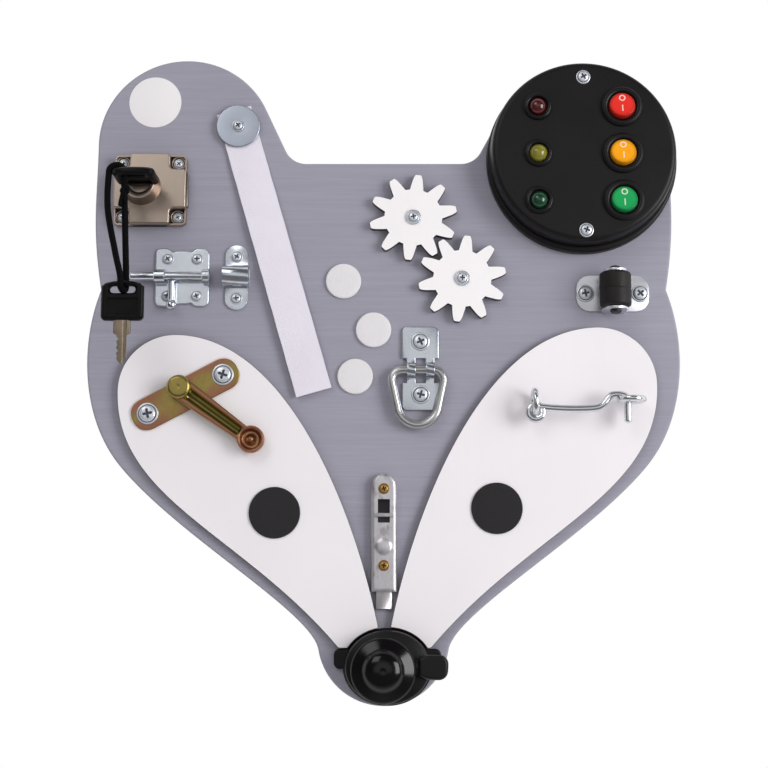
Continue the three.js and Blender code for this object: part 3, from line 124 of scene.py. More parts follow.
class Finish:
    """A material made of nodes round one Principled shader. It keeps a slot name, which nothing uses."""

    def __init__(self, name, slot=None, owner=None):
        self.slot = slot
        self.material = owner or bpy.data.materials.new(name)
        self.material.use_nodes = True
        self.tree = self.material.node_tree
        self.tree.nodes.clear()

    def node(self, kind, settings, inputs):
        """Adds a node, its settings first, then the values or links of its sockets, and gives its outputs."""
        made = self.tree.nodes.new(kind)
        for key, value in settings.items():
            setattr(made, key, value)
        for where, value in inputs.items():
            if isinstance(value, Value):
                self.tree.links.new(value.socket, made.inputs[where])
            else:
                made.inputs[where].default_value = value
        return [Value(self, socket) for socket in made.outputs]

    def coordinates(self, kind):
        """One output of the Texture Coordinate node, as a vector."""
        return self.node("ShaderNodeTexCoord", {}, {})[{"Generated": 0, "UV": 2, "Object": 3}[kind]]

    def parts(self, kind):
        """The same coordinates as three values."""
        return self.node("ShaderNodeSeparateXYZ", {}, {0: self.coordinates(kind)})

    def place(self):
        """Where a point lies on the piece, as x, y and z values in metres."""
        return self.parts("Object")

    def flat(self):
        """The piece's own UV map as u and v values."""
        return self.parts("UV")[:2]

    def noise(self, per_metre, detail=2.0, roughness=0.5, warp=0.0):
        """Soft random values round 0.5, with so many patches in a metre, on all axes or on x, y and z."""
        terms = {0: self.coordinates("Object"), 1: np.broadcast_to(per_metre, 3).tolist()}
        scaled = self.node("ShaderNodeVectorMath", {"operation": "MULTIPLY"}, terms)[0]
        sockets = {"Vector": scaled, "Scale": 1.0, "Detail": detail, "Roughness": roughness}
        return self.node("ShaderNodeTexNoise", {}, {**sockets, "Distortion": warp})[0]

    def mix(self, first, second, share):
        """One colour turning into another with a share of 0 to 1. Plain colours are screen levels."""
        first, second = (c if isinstance(c, Value) else tint(*c) for c in (first, second))
        return self.node("ShaderNodeMix", {"data_type": "RGBA"}, {0: share, 6: first, 7: second})[2]

    def surface(self, colour, roughness, height, depth, **others):
        """The shader itself: numbers are set on its sockets, values are linked, and a height gives relief."""
        relief = {"Strength": 1.0, "Distance": depth, "Height": height}
        sockets = {key.replace("_", " ").title().replace("Ior", "IOR"): item for key, item in others.items()}
        sockets |= {"Base Color": colour, "Roughness": roughness}
        sockets["Normal"] = self.node("ShaderNodeBump", {}, relief)[0]
        shader = self.node("ShaderNodeBsdfPrincipled", {}, sockets)[0]
        self.node("ShaderNodeOutputMaterial", {}, {0: shader})
        return self


def rays(finish):
    """The Light Path node's camera, glossy and transmission rays."""
    path = finish.node("ShaderNodeLightPath", {}, {})
    return path[0], path[3], path[6]


white = (1, 1, 1, 1)
world = bpy.data.worlds.new("studio")
bpy.context.scene.world = world
studio = Finish("studio", owner=world)
camera_ray, glossy_ray, through_ray = rays(studio)
toward = studio.parts("Generated")[1]
curtain, screen, wall = 0.10, 0.62, 0.90
level = curtain + screen * toward.step(-0.84, -0.96) + wall * toward.step(-0.42, -0.02)
room, bright_room, soft_room = (
    studio.node("ShaderNodeBackground", {}, {0: white, 1: strength})[0] for strength in (level, 1.0, 0.50)
)
lit = studio.node("ShaderNodeMixShader", {}, {0: glossy_ray, 1: soft_room, 2: room})[0]
seen = studio.node("ShaderNodeMixShader", {}, {0: camera_ray.larger(through_ray), 1: lit, 2: bright_room})[0]
studio.node("ShaderNodeOutputWorld", {}, {0: seen})

floor = bpy.data.objects.new("floor", plane_mesh("floor", 12, 12))
floor.location = (0, 0, -0.75)
bpy.context.scene.collection.objects.link(floor)
ground = Finish("floor")
camera_ray, glossy_ray, through_ray = rays(ground)
matt = ground.node("ShaderNodeBsdfDiffuse", {}, {0: (0.82, 0.82, 0.82, 1)})[0]
under = ground.place()[1].step(-0.55, -0.1)
glow = ground.node("ShaderNodeEmission", {}, {0: white, 1: camera_ray.larger(0.15 + 0.75 * under)})[0]
seen = camera_ray.larger(glossy_ray).larger(through_ray)
both = ground.node("ShaderNodeMixShader", {}, {0: seen, 1: matt, 2: glow})[0]
ground.node("ShaderNodeOutputMaterial", {}, {0: both})
floor.data.materials.append(ground.material)


def soft_box(name, place, wide, high, power):
    """A rectangular lamp at a place, turned to face the middle of the board."""
    lamp = bpy.data.objects.new(name, bpy.data.lights.new(name, "AREA"))
    lamp.data.shape = "RECTANGLE"
    lamp.data.size, lamp.data.size_y, lamp.data.energy = wide, high, power
    lamp.location = place
    lamp.rotation_euler = lamp.location.to_track_quat("Z", "Y").to_euler()
    bpy.context.scene.collection.objects.link(lamp)


soft_box("key_box", (1.25, -1.0, 0.10), 0.7, 1.0, 16.5)
soft_box("fill_box", (-0.7, -1.3, 1.0), 0.8, 0.8, 5)


# The key cord is a 3.5 mm black braided lace, tied into a loop that joins the two keys.
# It goes over the left bar of the main key's bow and through the slot of the spare key.
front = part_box("board")[0][1]


def stand(points):
    """Points on the face of the board, as x, y and height above it in mm, in their place in metres."""
    x, y, h = np.moveaxis(np.asarray(points, float), -1, 0)
    return np.stack([x / 1000, front - h / 1000, y / 1000], -1)


def joined(mesh, near, tidy=None):
    """Closes a mesh's seams and poles, takes out its empty faces and turns all faces outwards."""
    edit = bmesh.new()
    edit.from_mesh(mesh)
    bmesh.ops.remove_doubles(edit, verts=edit.verts, dist=near)
    bmesh.ops.dissolve_degenerate(edit, edges=edit.edges, dist=min(near, 1e-5) if tidy else 1e-8)
    if tidy:
        bmesh.ops.dissolve_limit(edit, angle_limit=tidy, verts=edit.verts, edges=edit.edges)
    bmesh.ops.recalc_face_normals(edit, faces=edit.faces)
    edit.to_mesh(mesh)
    edit.free()
    return mesh


def skin(name, points, around, caps, flat_map):
    """A mesh over a grid of points. around says which directions close on themselves; caps close the first
    and last row with one face each; flat_map is what all rows and one turn of the UV map stand for."""
    rows, columns = points.shape[:2]
    i = np.arange(rows if around[0] else rows - 1)[:, None]
    j = np.arange(columns if around[1] else columns - 1)[None, :]
    far, side = (i + 1) % rows, (j + 1) % columns
    corners = np.stack([i * columns + j, i * columns + side, far * columns + side, far * columns + j], -1)
    faces = corners.reshape(-1, 4).tolist()
    if caps:
        faces += [list(range(columns))[::-1], list(range((rows - 1) * columns, rows * columns))]
    mesh = bpy.data.meshes.new(name)
    mesh.from_pydata(points.reshape(-1, 3).tolist(), [], faces)
    if flat_map is not None:
        u = (i[..., None] + np.array([0, 0, 1, 1])) / (rows - 1) * flat_map[0]
        v = (j[..., None] + np.array([0, 1, 1, 0])) / (columns if around[1] else columns - 1) * flat_map[1]
        places = np.zeros((len(mesh.loops), 2), np.float32)
        both = np.stack(np.broadcast_arrays(u, v), -1).reshape(-1, 2)
        places[: len(both)] = both
        mesh.uv_layers.new(name="flat").data.foreach_set("uv", places.ravel())
    return joined(mesh, 1e-7)


def fitted(name, mesh, finish, body, nodes, sharp):
    """A finished mesh as a piece of the object: it rides on a body and stands for the CAD nodes named."""
    made = bpy.data.objects.new(name, mesh)
    bpy.context.scene.collection.objects.link(made)
    mesh.materials.clear()
    mesh.materials.append(finish.material)
    mesh.shade_smooth()
    if sharp:
        mesh.set_sharp_from_angle(angle=math.radians(sharp))
    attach(made, body)
    if nodes:
        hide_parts(*nodes)
    return made


def piece(
    name, rows, finish, *nodes, body="panel", around=(False, True), caps=False, flat_map=None, sharp=35
):
    """A piece with a skin over a grid of points, given in mm on the face of the board."""
    return fitted(name, skin(name, stand(rows), around, caps, flat_map), finish, body, nodes, sharp)


def along(points, count):
    """Evenly spaced places on a smooth curve through the points: centripetal Catmull-Rom pieces."""
    p = np.asarray(points, float)
    p = np.concatenate([[2 * p[0] - p[1]], p, [2 * p[-1] - p[-2]]])
    knots = np.concatenate([[0], np.cumsum(np.sqrt(np.linalg.norm(np.diff(p, axis=0), axis=1)))])
    t0, t1, t2, t3 = (knots[k : len(p) - 3 + k, None, None] for k in range(4))
    q0, q1, q2, q3 = (p[k : len(p) - 3 + k, None] for k in range(4))
    t = t1 + (t2 - t1) * np.linspace(0, 1, 24, endpoint=False)[None, :, None]

    def between(a, b, start, end):
        return (a * (end - t) + b * (t - start)) / (end - start)

    first, middle, last = between(q0, q1, t0, t1), between(q1, q2, t1, t2), between(q2, q3, t2, t3)
    fine = between(between(first, middle, t0, t2), between(middle, last, t1, t3), t1, t2)
    fine = np.concatenate([fine.reshape(-1, 3), p[-2:-1]])
    length = np.concatenate([[0], np.cumsum(np.linalg.norm(np.diff(fine, axis=0), axis=1))])
    even = np.linspace(0, length[-1], count)
    return np.stack([np.interp(even, length, fine[:, k]) for k in range(3)], -1)


def all_round(count):
    """Evenly spaced angles of one full turn."""
    return np.linspace(0, 2 * np.pi, count, endpoint=False)


def tube(path, radius, sides=16, closed=False):
    """Rings of points round a path: each ring stands across the path. The angle by which one ring's first
    spoke turns against the last one's is summed along the path and taken off, so that nothing twists."""
    ahead = np.roll(path, -1, 0) - np.roll(path, 1, 0) if closed else np.gradient(path, axis=0)
    ahead /= np.linalg.norm(ahead, axis=1, keepdims=True)
    across = np.cross(ahead, (0.31, 0.94, -0.17))
    across /= np.linalg.norm(across, axis=1, keepdims=True)
    up = np.cross(ahead, across)
    before = np.roll(across, 1, 0)
    twist = np.arctan2((before * up).sum(1), (before * across).sum(1))
    start = twist[0]
    twist[0] = 0
    twist = np.cumsum(twist)
    if closed:
        twist -= (twist[-1] + start) * np.arange(len(path)) / len(path)
    turn = all_round(sides)[None, :, None] + twist[:, None, None]
    size = np.broadcast_to(np.asarray(radius, float), (len(path),))[:, None, None]
    return path[:, None] + size * (np.cos(turn) * across[:, None] + np.sin(turn) * up[:, None])


bar = np.array([-145.918, 104.927, 36.2])
hang = np.array([bar[0] + 5.2, bar[1] - 65.4, 36.0])
bow, reach, dip, side, lace_radius = 4.3, 4.1, 1.9, 0.8, 1.75
knot = bar + (bow, -10, 0)
turned_over = [bar + (bow * math.cos(a), bow * math.sin(a), 0) for a in np.radians([30, 60, 90, 120, 150])]
route = [
    knot + (0, 2.2, 0),
    bar + (bow, -bow / 2, 0),
    *turned_over,
    bar + (-bow, -bow / 2, 0),
    bar + (-bow, -20, 0),
    hang + (-bow, 20, reach / 2),
    hang + (-side, dip * 3, reach),
    hang + (-side, dip, reach),
    hang + (-side / 2, 0, reach / 2),
    hang + (side / 2, 0, -reach / 2),
    hang + (side, dip, -reach),
    hang + (side, dip * 3, -reach),
    bar + (bow + side, -30, -reach / 2),
    knot + (0.3, -2.2, 0),
]
centre_line = along(route, 260)
lace = stand(centre_line)
lace_length = float(np.linalg.norm(np.diff(lace, axis=0), axis=1).sum())

braid = Finish("black_braid", "cord")
u, v = braid.flat()
ahead, about = u * 2600, v * (8 * math.pi)
strand = ((ahead + about).sine() * (ahead - about).sine()).step(-0.8, 0.9)
fuzz = braid.noise(3000, 3)
colour = braid.mix((3, 3, 4), (19, 17, 20), strand * 0.6 + fuzz * 0.35)
braid.surface(colour, 0.8, strand + fuzz * 0.3, 0.00022, specular_ior_level=0.08)
lace_skin = tube(centre_line, lace_radius, 16)
cord = piece("key_lace", lace_skin, braid, "key_cord", body="cord", caps=True, flat_map=(lace_length, 1.0))
turn = all_round(120)
wound = [
    1.35 * np.cos(turn) + 0.5 * np.cos(2 * turn),
    1.1 * np.sin(2 * turn) + 0.4 * np.sin(turn),
    1.35 * np.sin(turn),
]
knot_skin = tube(knot + np.stack(wound, -1), 1.15, 12, True)
lace_knot = piece("lace_knot", knot_skin, braid, body="cord", around=(True, True), flat_map=(0.012, 1.0))
for number, (lean, drop) in enumerate([(-1.6, 9.5), (1.5, 8.0)]):
    bent = knot + (lean * 0.4, -drop * 0.4, 1.6)
    tail = along([knot + (0, -0.5, 0.6), bent, knot + (lean, -drop, 1.8)], 24)
    girth = 1.25 * np.concatenate([np.ones(22), [0.9, 0.5]])
    tail_rows = tube(tail, girth, 12)
    piece(f"lace_tail_{number}", tail_rows, braid, body="cord", caps=True, flat_map=(0.01, 1.0))


# The board is a 10 mm sheet sawn to the outline of an animal's head with two ears and a nose.
# Its edge is eased by hand, and it is stained grey with the brush drawn from side to side.
# The top of the right ear is cut back to stay under the foot of the lamp box.
def arc(x, y, radius, start, end, steps):
    """Points on a circle from one angle to another, in degrees."""
    angle = np.radians(np.linspace(start, end, steps))
    return np.stack([x + radius * np.cos(angle), y + radius * np.sin(angle)], -1)


def bend(a, b, c, d, steps):
    """Points on the cubic curve from a to d that b and c pull on."""
    t = np.linspace(0, 1, steps)[:, None]
    a, b, c, d = map(np.asarray, (a, b, c, d))
    return a * (1 - t) ** 3 + 3 * b * t * (1 - t) ** 2 + 3 * c * t**2 * (1 - t) + d * t**3


def slab(outline, low, high, ease, ease_steps=4, margin=0.1):
    """Rows of points round a closed outline, from its lower face over the side to its upper face, both rims
    eased. Each row is the outline moved inwards along its normals, and a narrow margin keeps faces flat."""
    ahead = np.roll(outline, -1, 0) - np.roll(outline, 1, 0)
    ahead /= np.linalg.norm(ahead, axis=1, keepdims=True)
    inwards = np.stack([-ahead[:, 1], ahead[:, 0]], -1)
    quarter = np.linspace(0, np.pi / 2, ease_steps + 1)
    sunk, risen = ease * (1 - np.cos(quarter)), ease * (1 - np.sin(quarter))
    ends = [ease + margin]
    inset = np.concatenate([ends, risen, sunk, ends])
    height = np.concatenate([[low], low + sunk, high - risen, [high]])
    flat = outline[None] + inwards[None] * inset[:, None, None]
    return np.concatenate([flat, np.broadcast_to(height[:, None, None], (*flat.shape[:2], 1))], -1)


brow, box_at, box_room = 121.3, np.array([113.0035, 123.708]), 52.6
lean = math.radians(25)
ear_x, ear_y, ear = -113.4, 132.7, 50.3
flank_x, flank_y = ear_x + ear * math.cos(lean), ear_y + ear * math.sin(lean)
fillet = 13.2
fillet_x = flank_x + (flank_y - brow) * math.tan(lean) + fillet * math.tan((math.pi / 2 - lean) / 2)
nose_y, nose, join = -147, 36, math.radians(189.6)
chin = np.array([nose * math.cos(join), nose_y + nose * math.sin(join)])
before_chin = chin + 20.5 * np.array([math.sin(join), -math.cos(join)])
kink, jaw = (-159.84, 47.31), (-146.19, -52.89)
half = np.concatenate(
    [
        np.stack([np.linspace(0, fillet_x, 12), np.full(12, brow)], -1),
        arc(fillet_x, brow + fillet, fillet, -90, -155, 14)[1:],
        arc(ear_x, ear_y, ear, 25, 180, 60),
        bend((-163.7, 132.7), (-163.67, 99.74), (-166.5, 85.1), kink, 30)[1:],
        bend(kink, (-170.83, 17.75), (-169.66, -25.44), jaw, 40)[1:],
        bend(jaw, (-113.3, -91.68), before_chin, chin, 40)[1:],
        arc(0, nose_y, nose, 189.6, 270, 24)[1:],
    ]
)
right = (half[1:-1] * (-1, 1))[::-1]
from_box = right - box_at
inwards = np.minimum(1, box_room / np.linalg.norm(from_box, axis=1, keepdims=True))
right = np.where(right[:, 1:] > brow + fillet, box_at + from_box * inwards, right)
outline = np.concatenate([half, right])

stain = Finish("grey_stain", "grey_paint")
through = stain.place()[1]
streak = stain.noise((14, 40, 700), 4, 0.62, 0.3)
broad = stain.noise((2.2, 6, 40), 3, 0.6)
fibre = stain.noise((60, 200, 2400), 3, 0.7)
patch = stain.noise(7, 2)
tone = (streak - 0.5) * 0.55 + (broad - 0.5) * 0.22 + (fibre - 0.5) * 0.45 + (patch - 0.5) * 0.3 + 0.5
half_sheet = 0.005
# Painted shade darkens the sawn edge of the board, in faint bands across its thickness.
edge_shade = abs(through + half_sheet).step(0.0046, 0.0041)
grey = stain.mix((134, 132, 145), (167, 165, 179), tone)
colour = stain.mix(grey, (84, 80, 88), edge_shade * (0.55 + 0.45 * stain.noise((20, 900, 20), 2)))
stain.surface(colour, 0.52 + 0.14 * streak, streak * 0.6 + fibre * 0.5, 0.00009, specular_ior_level=0.35)
board_rows = slab(outline, -10, 0, 1.1, margin=0.5)
piece("face_board", board_rows, stain, "board", caps=True)


# Each cheek is a teardrop of 4 mm sheet with a white face, glued on the board. The laser browned its edge.
# The tips of both are cut away round the foot of the bell; the right one is slightly larger than the left.
def white_sheet(name, low, high, dull, clean):
    """White paint on thin sheet with an edge browned by the laser, between two heights above the board."""
    made = Finish(name, "white_ply")
    height = (front - made.place()[1]) / 0.001
    edge = height.step(low + 0.1, low + 0.25) * height.step(high - 0.01, high - 0.06)
    grain = made.noise((420, 60, 9), 3, 0.6)
    cloud = made.noise(16, 3)
    face = made.mix(dull, clean, cloud * 0.8 + grain * 0.2)
    burnt = made.mix((34, 27, 29), (72, 58, 56), made.noise((120, 2400, 120), 2))
    colour = made.mix(face, burnt, edge)
    relief = cloud * 0.4 + grain * 0.2
    return made.surface(colour, 0.42 + 0.12 * cloud, relief, 0.00006, specular_ior_level=0.4)


tip, crown, outer, heel = (-1.37, -148.61), (-116.95, 20.88), (-148.22, -11.05), (-19.28, -158.2)
teardrop = np.concatenate(
    [
        bend(tip, (-13.07, -83.21), (-52.51, 20.88), crown, 400),
        bend(crown, (-131.75, 20.88), (-148.22, 8.89), outer, 90)[1:],
        bend(outer, (-148.22, -73.51), (-73.39, -90.73), heel, 400)[1:],
        bend(heel, (-16, -156), (-8, -150), tip, 60)[1:-1],
    ]
)
bell_at = np.array([2.1645, -161.955])


def round_the_bell(points):
    """Where points lie inside the cut-out round the bell's oval foot and lugs, the outline follows its rim
    from where the cheek's outer side meets it to where the inner side does. Points stay 0.8 mm apart."""
    away = points - bell_at
    far = np.linalg.norm(away, axis=1)
    right, up = np.abs(away[:, 0] / far), away[:, 1] / far
    foot = 1 / np.hypot(right / 24.6, up / 21.1)
    lug = np.minimum(29.5 / (right + 1e-9), np.where(up > 0, 10.0, 1.6) / (np.abs(up) + 1e-9))
    rim = np.maximum(foot, lug)
    clear = np.flatnonzero(far >= rim)
    along_rim = (np.arange(len(up)) > clear[-1]) & (up > up[clear[-1]]) & (up < up[clear[0]])
    kept = (far >= rim) | along_rim
    moved = (bell_at + away * (np.maximum(rim, far) / far)[:, None])[kept]
    run = np.cumsum(np.linalg.norm(np.diff(moved, axis=0, prepend=moved[-1:]), axis=1))
    thinned = moved[np.diff(np.floor(run / 0.8), prepend=-1) > 0]
    return thinned[: -1 if np.linalg.norm(thinned[-1] - thinned[0]) < 0.5 else None]


cheek_paint = white_sheet("cheek_paint", 0, 4, (230, 225, 229), (241, 236, 240))
for name, way, grown, slip in (("left", 1, 1.0, (0, 0)), ("right", -1, 1.0227, (1.07, 3.79))):
    shape = round_the_bell(teardrop * (way * grown, grown) + slip)[::way]
    rows = slab(shape, 0, 4, 0.3, 2)
    piece(f"cheek_{name}_sheet", rows, cheek_paint, f"cheek_{name}", caps=True)


# The eyes are discs of thin black felt, cut with a punch and glued on the cheeks.
# Their nap catches a little light, and the cut rim is slightly rounded.
def turned(profile, centre=(0, 0), facets=96, ease=0.0, ease_steps=3):
    """A profile of radius and height pairs turned about an upright axis. Each corner of the profile is eased
    by a short curve that starts and ends the same distance before and after it."""
    p = np.asarray(profile, float)
    if np.any(ease):
        before, here, after = p[:-2], p[1:-1], p[2:]
        near = np.linalg.norm(before - here, axis=1, keepdims=True)
        far = np.linalg.norm(after - here, axis=1, keepdims=True)
        cut = np.minimum(np.reshape(ease, (-1, 1)), np.minimum(near, far) * 0.45)
        start, end = here + (before - here) / near * cut, here + (after - here) / far * cut
        t = np.linspace(0, 1, ease_steps + 1)[None, :, None]
        curve = start[:, None] * (1 - t) ** 2 + 2 * here[:, None] * t * (1 - t) + end[:, None] * t**2
        p = np.concatenate([p[:1], curve.reshape(-1, 2), p[-1:]])
    angle = all_round(facets)[None, :]
    x, y = centre[0] + p[:, :1] * np.cos(angle), centre[1] + p[:, :1] * np.sin(angle)
    return np.stack([x, y, np.broadcast_to(p[:, 1:], x.shape)], -1)


felt = Finish("black_felt", "black_felt")
nap = felt.noise(2600, 4, 0.7)
lint = felt.noise(700, 2).step(0.62, 0.8)
colour = felt.mix((16, 14, 16), (40, 36, 40), nap * 0.8 + lint * 0.4)
felt.surface(colour, 0.92, nap, 0.00025, sheen_weight=0.25)
disc = [(0, 4.0), (14.1, 4.0), (14.2, 4.5), (14.0, 5.0), (7, 5.08), (0, 5.1)]
for name, at in (("left", (-59.94, -78.69)), ("right", (62.34, -76.29))):
    piece(f"eye_{name}_felt", turned(disc, at, 96, 0.3), felt, f"eye_{name}")


# Three stick-on dots of loop tape hold the end of the strap.
# They are punched from white woven tape, and the loops make a fine grain.
loops = Finish("loop_tape", "white_tape")
x, _, z = loops.place()
curl = loops.noise(2400, 3, 0.65)
weave = (x * 5200).sine() * (z * 5200).sine()
colour = loops.mix((214, 210, 213), (236, 233, 236), curl * 0.75 + weave * 0.12 + 0.12)
loops.surface(colour, 0.95, curl + weave * 0.25, 0.00018, sheen_weight=0.3)
dot = [(0, 0), (10, 0), (10, 1.1), (9.7, 1.7), (6, 1.85), (0, 1.9)]
for number, at in enumerate([(-22.64, 52.16), (-5.66, 24.16), (-15.9, -2.31)], 1):
    piece(f"dot_{number}", turned(dot, at, 80, 0.35), loops, f"coin_{number}")


# The strap is 20 mm hook tape with heat-sealed edges, held at one end by a large washer and a screw.
# It lies on the board under the washer and rises just enough to pass over the dots.
strap_at = (-83.25, 142.557)


def across_strap(steps, ribs):
    """The strap's own grid: rows run along it and columns across; both faces make one closed loop round the
    edges, which wave by a twentieth of a millimetre."""
    start, end, a = -10.2, 160.5, math.radians(16.1)
    run = np.linspace(start, end, steps)
    low = np.interp(run, [start, 16, 60, end], [0.3, 0.3, 2.1, 2.1]) + 0.05 * np.sin(run / 9)
    v = np.concatenate([np.linspace(-1, 1, ribs), np.linspace(1, -1, ribs)])
    top = np.concatenate([np.zeros(ribs), np.ones(ribs)])
    thick = 1.45 + 0.15 * np.cos(v * np.pi * 0.5)
    side = v[None] * (10.15 + 0.05 * np.sin(run / 3.1)[:, None])
    h = low[:, None] + top[None] * thick[None]
    x = strap_at[0] + run[:, None] * math.sin(a) + side * math.cos(a)
    y = strap_at[1] - run[:, None] * math.cos(a) + side * math.sin(a)
    return np.stack([x, y, h], -1)


tape = Finish("hook_tape", "white_tape")
u, v = tape.flat()
rib = (v * (68 * math.pi)).sine()
pick = (u * (2200 * math.pi)).sine()
soil = tape.noise(30, 3)
colour = tape.mix((218, 212, 223), (237, 231, 242), soil * 0.7 + rib * 0.03 + pick * 0.03 + 0.12)
tape.surface(colour, 0.9, rib * 0.3 + pick * 0.3 + tape.noise(2500, 2) * 0.6, 0.00008, sheen_weight=0.3)
strap_rows = across_strap(120, 16)
wide, long = 0.0204, 0.1707
lengthwise = (long, 1.0)
strap = piece("hook_strap", strap_rows, tape, "strap", body="strap", caps=True, flat_map=lengthwise, sharp=50)


# Bright zinc plate covers most of the bought fittings: washers, bolt plates, rings and hooks.
# The washer's punched rim is rounded on its upper side, and the pan-head screw has a cross recess.
def zinc_plate(name, dark, light, rough=0.2, scratch=0.5, slot="zinc"):
    """Zinc plate: a faint cloud of tone, fine brushed scratches and duller patches."""
    made = Finish(name, slot)
    mottle = made.noise(45, 3, 0.5, 0.4)
    fine = made.noise(1200, 2)
    drawn = made.noise((1400, 90, 140), 2, 0.6)
    colour = made.mix(dark, light, mottle * 0.7 + fine * 0.15 + drawn * 0.15)
    dull = rough + 0.10 * (mottle - 0.5) + 0.05 * drawn
    return made.surface(colour, dull, fine * 0.4 + drawn * scratch, 0.000012, metallic=0.97)


head_rings = 31


def cross_head(radius, rise, facets=96):
    """A screw head over radius and angle: a low dome with a cross recess, a groove and a flat flange."""
    r = np.linspace(0, 1, head_rings)[:, None]
    angle = all_round(facets)[None, :]
    x, y = r * np.cos(angle), r * np.sin(angle)
    near = np.minimum(abs(x), abs(y))
    recess = np.clip((0.13 - near) / 0.06, 0, 1) * np.clip((0.47 - r) / 0.1, 0, 1)
    dome = (1 - 0.45 * r**2) * np.clip(1 - (r / 0.76) ** 10, 0, 1) ** 0.35
    flange = 0.34 * np.clip(1 - r**16, 0, 1) ** 0.4 - 0.14 * np.clip(1 - abs(r - 0.78) / 0.05, 0, 1)
    top = np.stack([radius * x, radius * y, rise * (np.maximum(dome, flange) - recess * 0.5)], -1)
    under = np.stack([radius * x[-1:], radius * y[-1:], np.full((1, facets), -0.2)], -1)
    return np.concatenate([top, under, under * (0, 0, 1)])


def screw_finish(name, dark, light, shade):
    """Plated steel with painted shade in the recess, in the groove and at the rim. The UV map
    gives the distance from the axis and the angle from an arm of the cross."""
    made = Finish(name, "zinc")
    far, turn = made.flat()
    angle = turn * (2 * math.pi)
    near = abs(far * (angle + math.pi / 2).sine()).smaller(abs(far * angle.sine()))
    recess = near.step(0.125, 0.075) * far.step(0.48, 0.38)
    groove = abs(far - 0.78).step(0.07, 0.03)
    rim = far.step(0.92, 0.99)
    cloud = made.noise(600, 3)
    # Painted shade: the recess, the groove and the rim are darkened towards the shade colour.
    painted_shade = (recess * 0.9).larger(groove * 0.8).larger(rim * 0.5)
    colour = made.mix(made.mix(dark, light, cloud), shade, painted_shade)
    return made.surface(colour, 0.26 + 0.25 * recess + 0.1 * cloud, cloud, 0.00001, metallic=0.6)


zinc = zinc_plate("bright_zinc", (166, 173, 188), (246, 250, 255), 0.17)
screw_zinc = screw_finish("screw_zinc", (210, 215, 226), (242, 245, 250), (50, 54, 70))


def turned_to(points, at, degrees):
    """Points drawn about the origin, turned in the plane of the board and moved to a place."""
    points = np.asarray(points, float).copy()
    a = math.radians(degrees)
    x, y = points[..., 0].copy(), points[..., 1].copy()
    points[..., 0] = at[0] + x * math.cos(a) - y * math.sin(a)
    points[..., 1] = at[1] + x * math.sin(a) + y * math.cos(a)
    return points


def screw(name, at, seat, radius, rise, turn, finish=screw_zinc, nodes=()):
    """One screw head on the panel. Its rings make one radius of the UV map; two more rows go under it."""
    head = turned_to(cross_head(radius, rise), at, turn) + (0, 0, seat)
    one_radius = (head_rings + 1) / (head_rings - 1)
    piece(name, head, finish, *nodes, flat_map=(one_radius, 1.0), sharp=40)


def screws(name, spots, seat, radius, rise, turn, step, finish=screw_zinc, nodes=()):
    """A group of like screws, numbered, each turned one step further than the one before."""
    for number, at in enumerate(spots):
        own = nodes[number : number + 1]
        screw(f"{name}_{number}", at, seat, radius, rise, turn + step * number, finish, own)


washer_zinc = zinc_plate("washer_zinc", (164, 170, 184), (190, 196, 208), 0.32, 0.9)
washer = [(2.3, 2.2), (12.3, 2.2), (12.5, 2.4), (12.35, 3.35), (12.0, 3.5), (2.6, 3.5), (2.3, 3.3)]
piece("strap_disc", turned(washer + washer[:1], strap_at, 128, 0.15), washer_zinc, "strap_washer")
screw("strap_screw_head", strap_at, 3.5, 3.6, 2.2, 35, nodes=("strap_screw",))


# The drawer lock is a die-cast nickel case over a steel back plate, with a screw in each corner recess.
# The plug stands in a tapered collar; its keyway holds the main key.
def eased(corners, radius, steps=7):
    """A closed outline through straight runs, with every corner rounded by a short curve."""
    p = np.asarray(corners, float)
    before, after = np.roll(p, 1, 0), np.roll(p, -1, 0)
    near = np.linalg.norm(before - p, axis=1, keepdims=True)
    far = np.linalg.norm(after - p, axis=1, keepdims=True)
    cut = np.minimum(np.reshape(radius, (-1, 1)) * np.ones_like(near), np.minimum(near, far) * 0.499)
    start, end = p + (before - p) / near * cut, p + (after - p) / far * cut
    t = np.linspace(0, 1, steps)[None, :, None]
    weights = (1 - t) ** 2, 1.17 * 2 * t * (1 - t) * 0.7071, t**2
    curve = start[:, None] * weights[0] + p[:, None] * weights[1] + end[:, None] * weights[2]
    return (curve / sum(weights)).reshape(-1, 2)


def oblong(wide, high, radius, steps=9):
    """A rectangle with round corners, about the origin."""
    w, h = wide / 2, high / 2
    return eased([(-w, -h), (w, -h), (w, h), (-w, h)], radius, steps)


def dressed(node, finish, width=0.3, heads=((), 0, 0), body="panel", sharp=30):
    """The CAD solid as a finished piece: a bevel eases its edges, and the plain screw heads at some spots,
    above a seat and within a radius, are pressed flat."""
    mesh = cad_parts[node].data.copy()
    places = np.empty(len(mesh.vertices) * 3, np.float32)
    mesh.vertices.foreach_get("co", places)
    places = places.reshape(-1, 3)
    spots, seat, radius = heads
    for x, y in spots:
        near = np.hypot(places[:, 0] * 1000 - x, places[:, 2] * 1000 - y) < radius + 0.1
        proud = (front - places[:, 1]) * 1000 > seat
        places[near & proud, 1] = front - seat / 1000
    mesh.vertices.foreach_set("co", places.ravel())
    made = fitted(f"{node}_finished", joined(mesh, 1e-5, math.radians(1)), finish, body, (node,), None)
    bevel = made.modifiers.new("eased", "BEVEL")
    bevel.width, bevel.segments, bevel.angle_limit = width / 1000, 3, math.radians(sharp)
    bevel.limit_method = "ANGLE"
    bevel.harden_normals = True


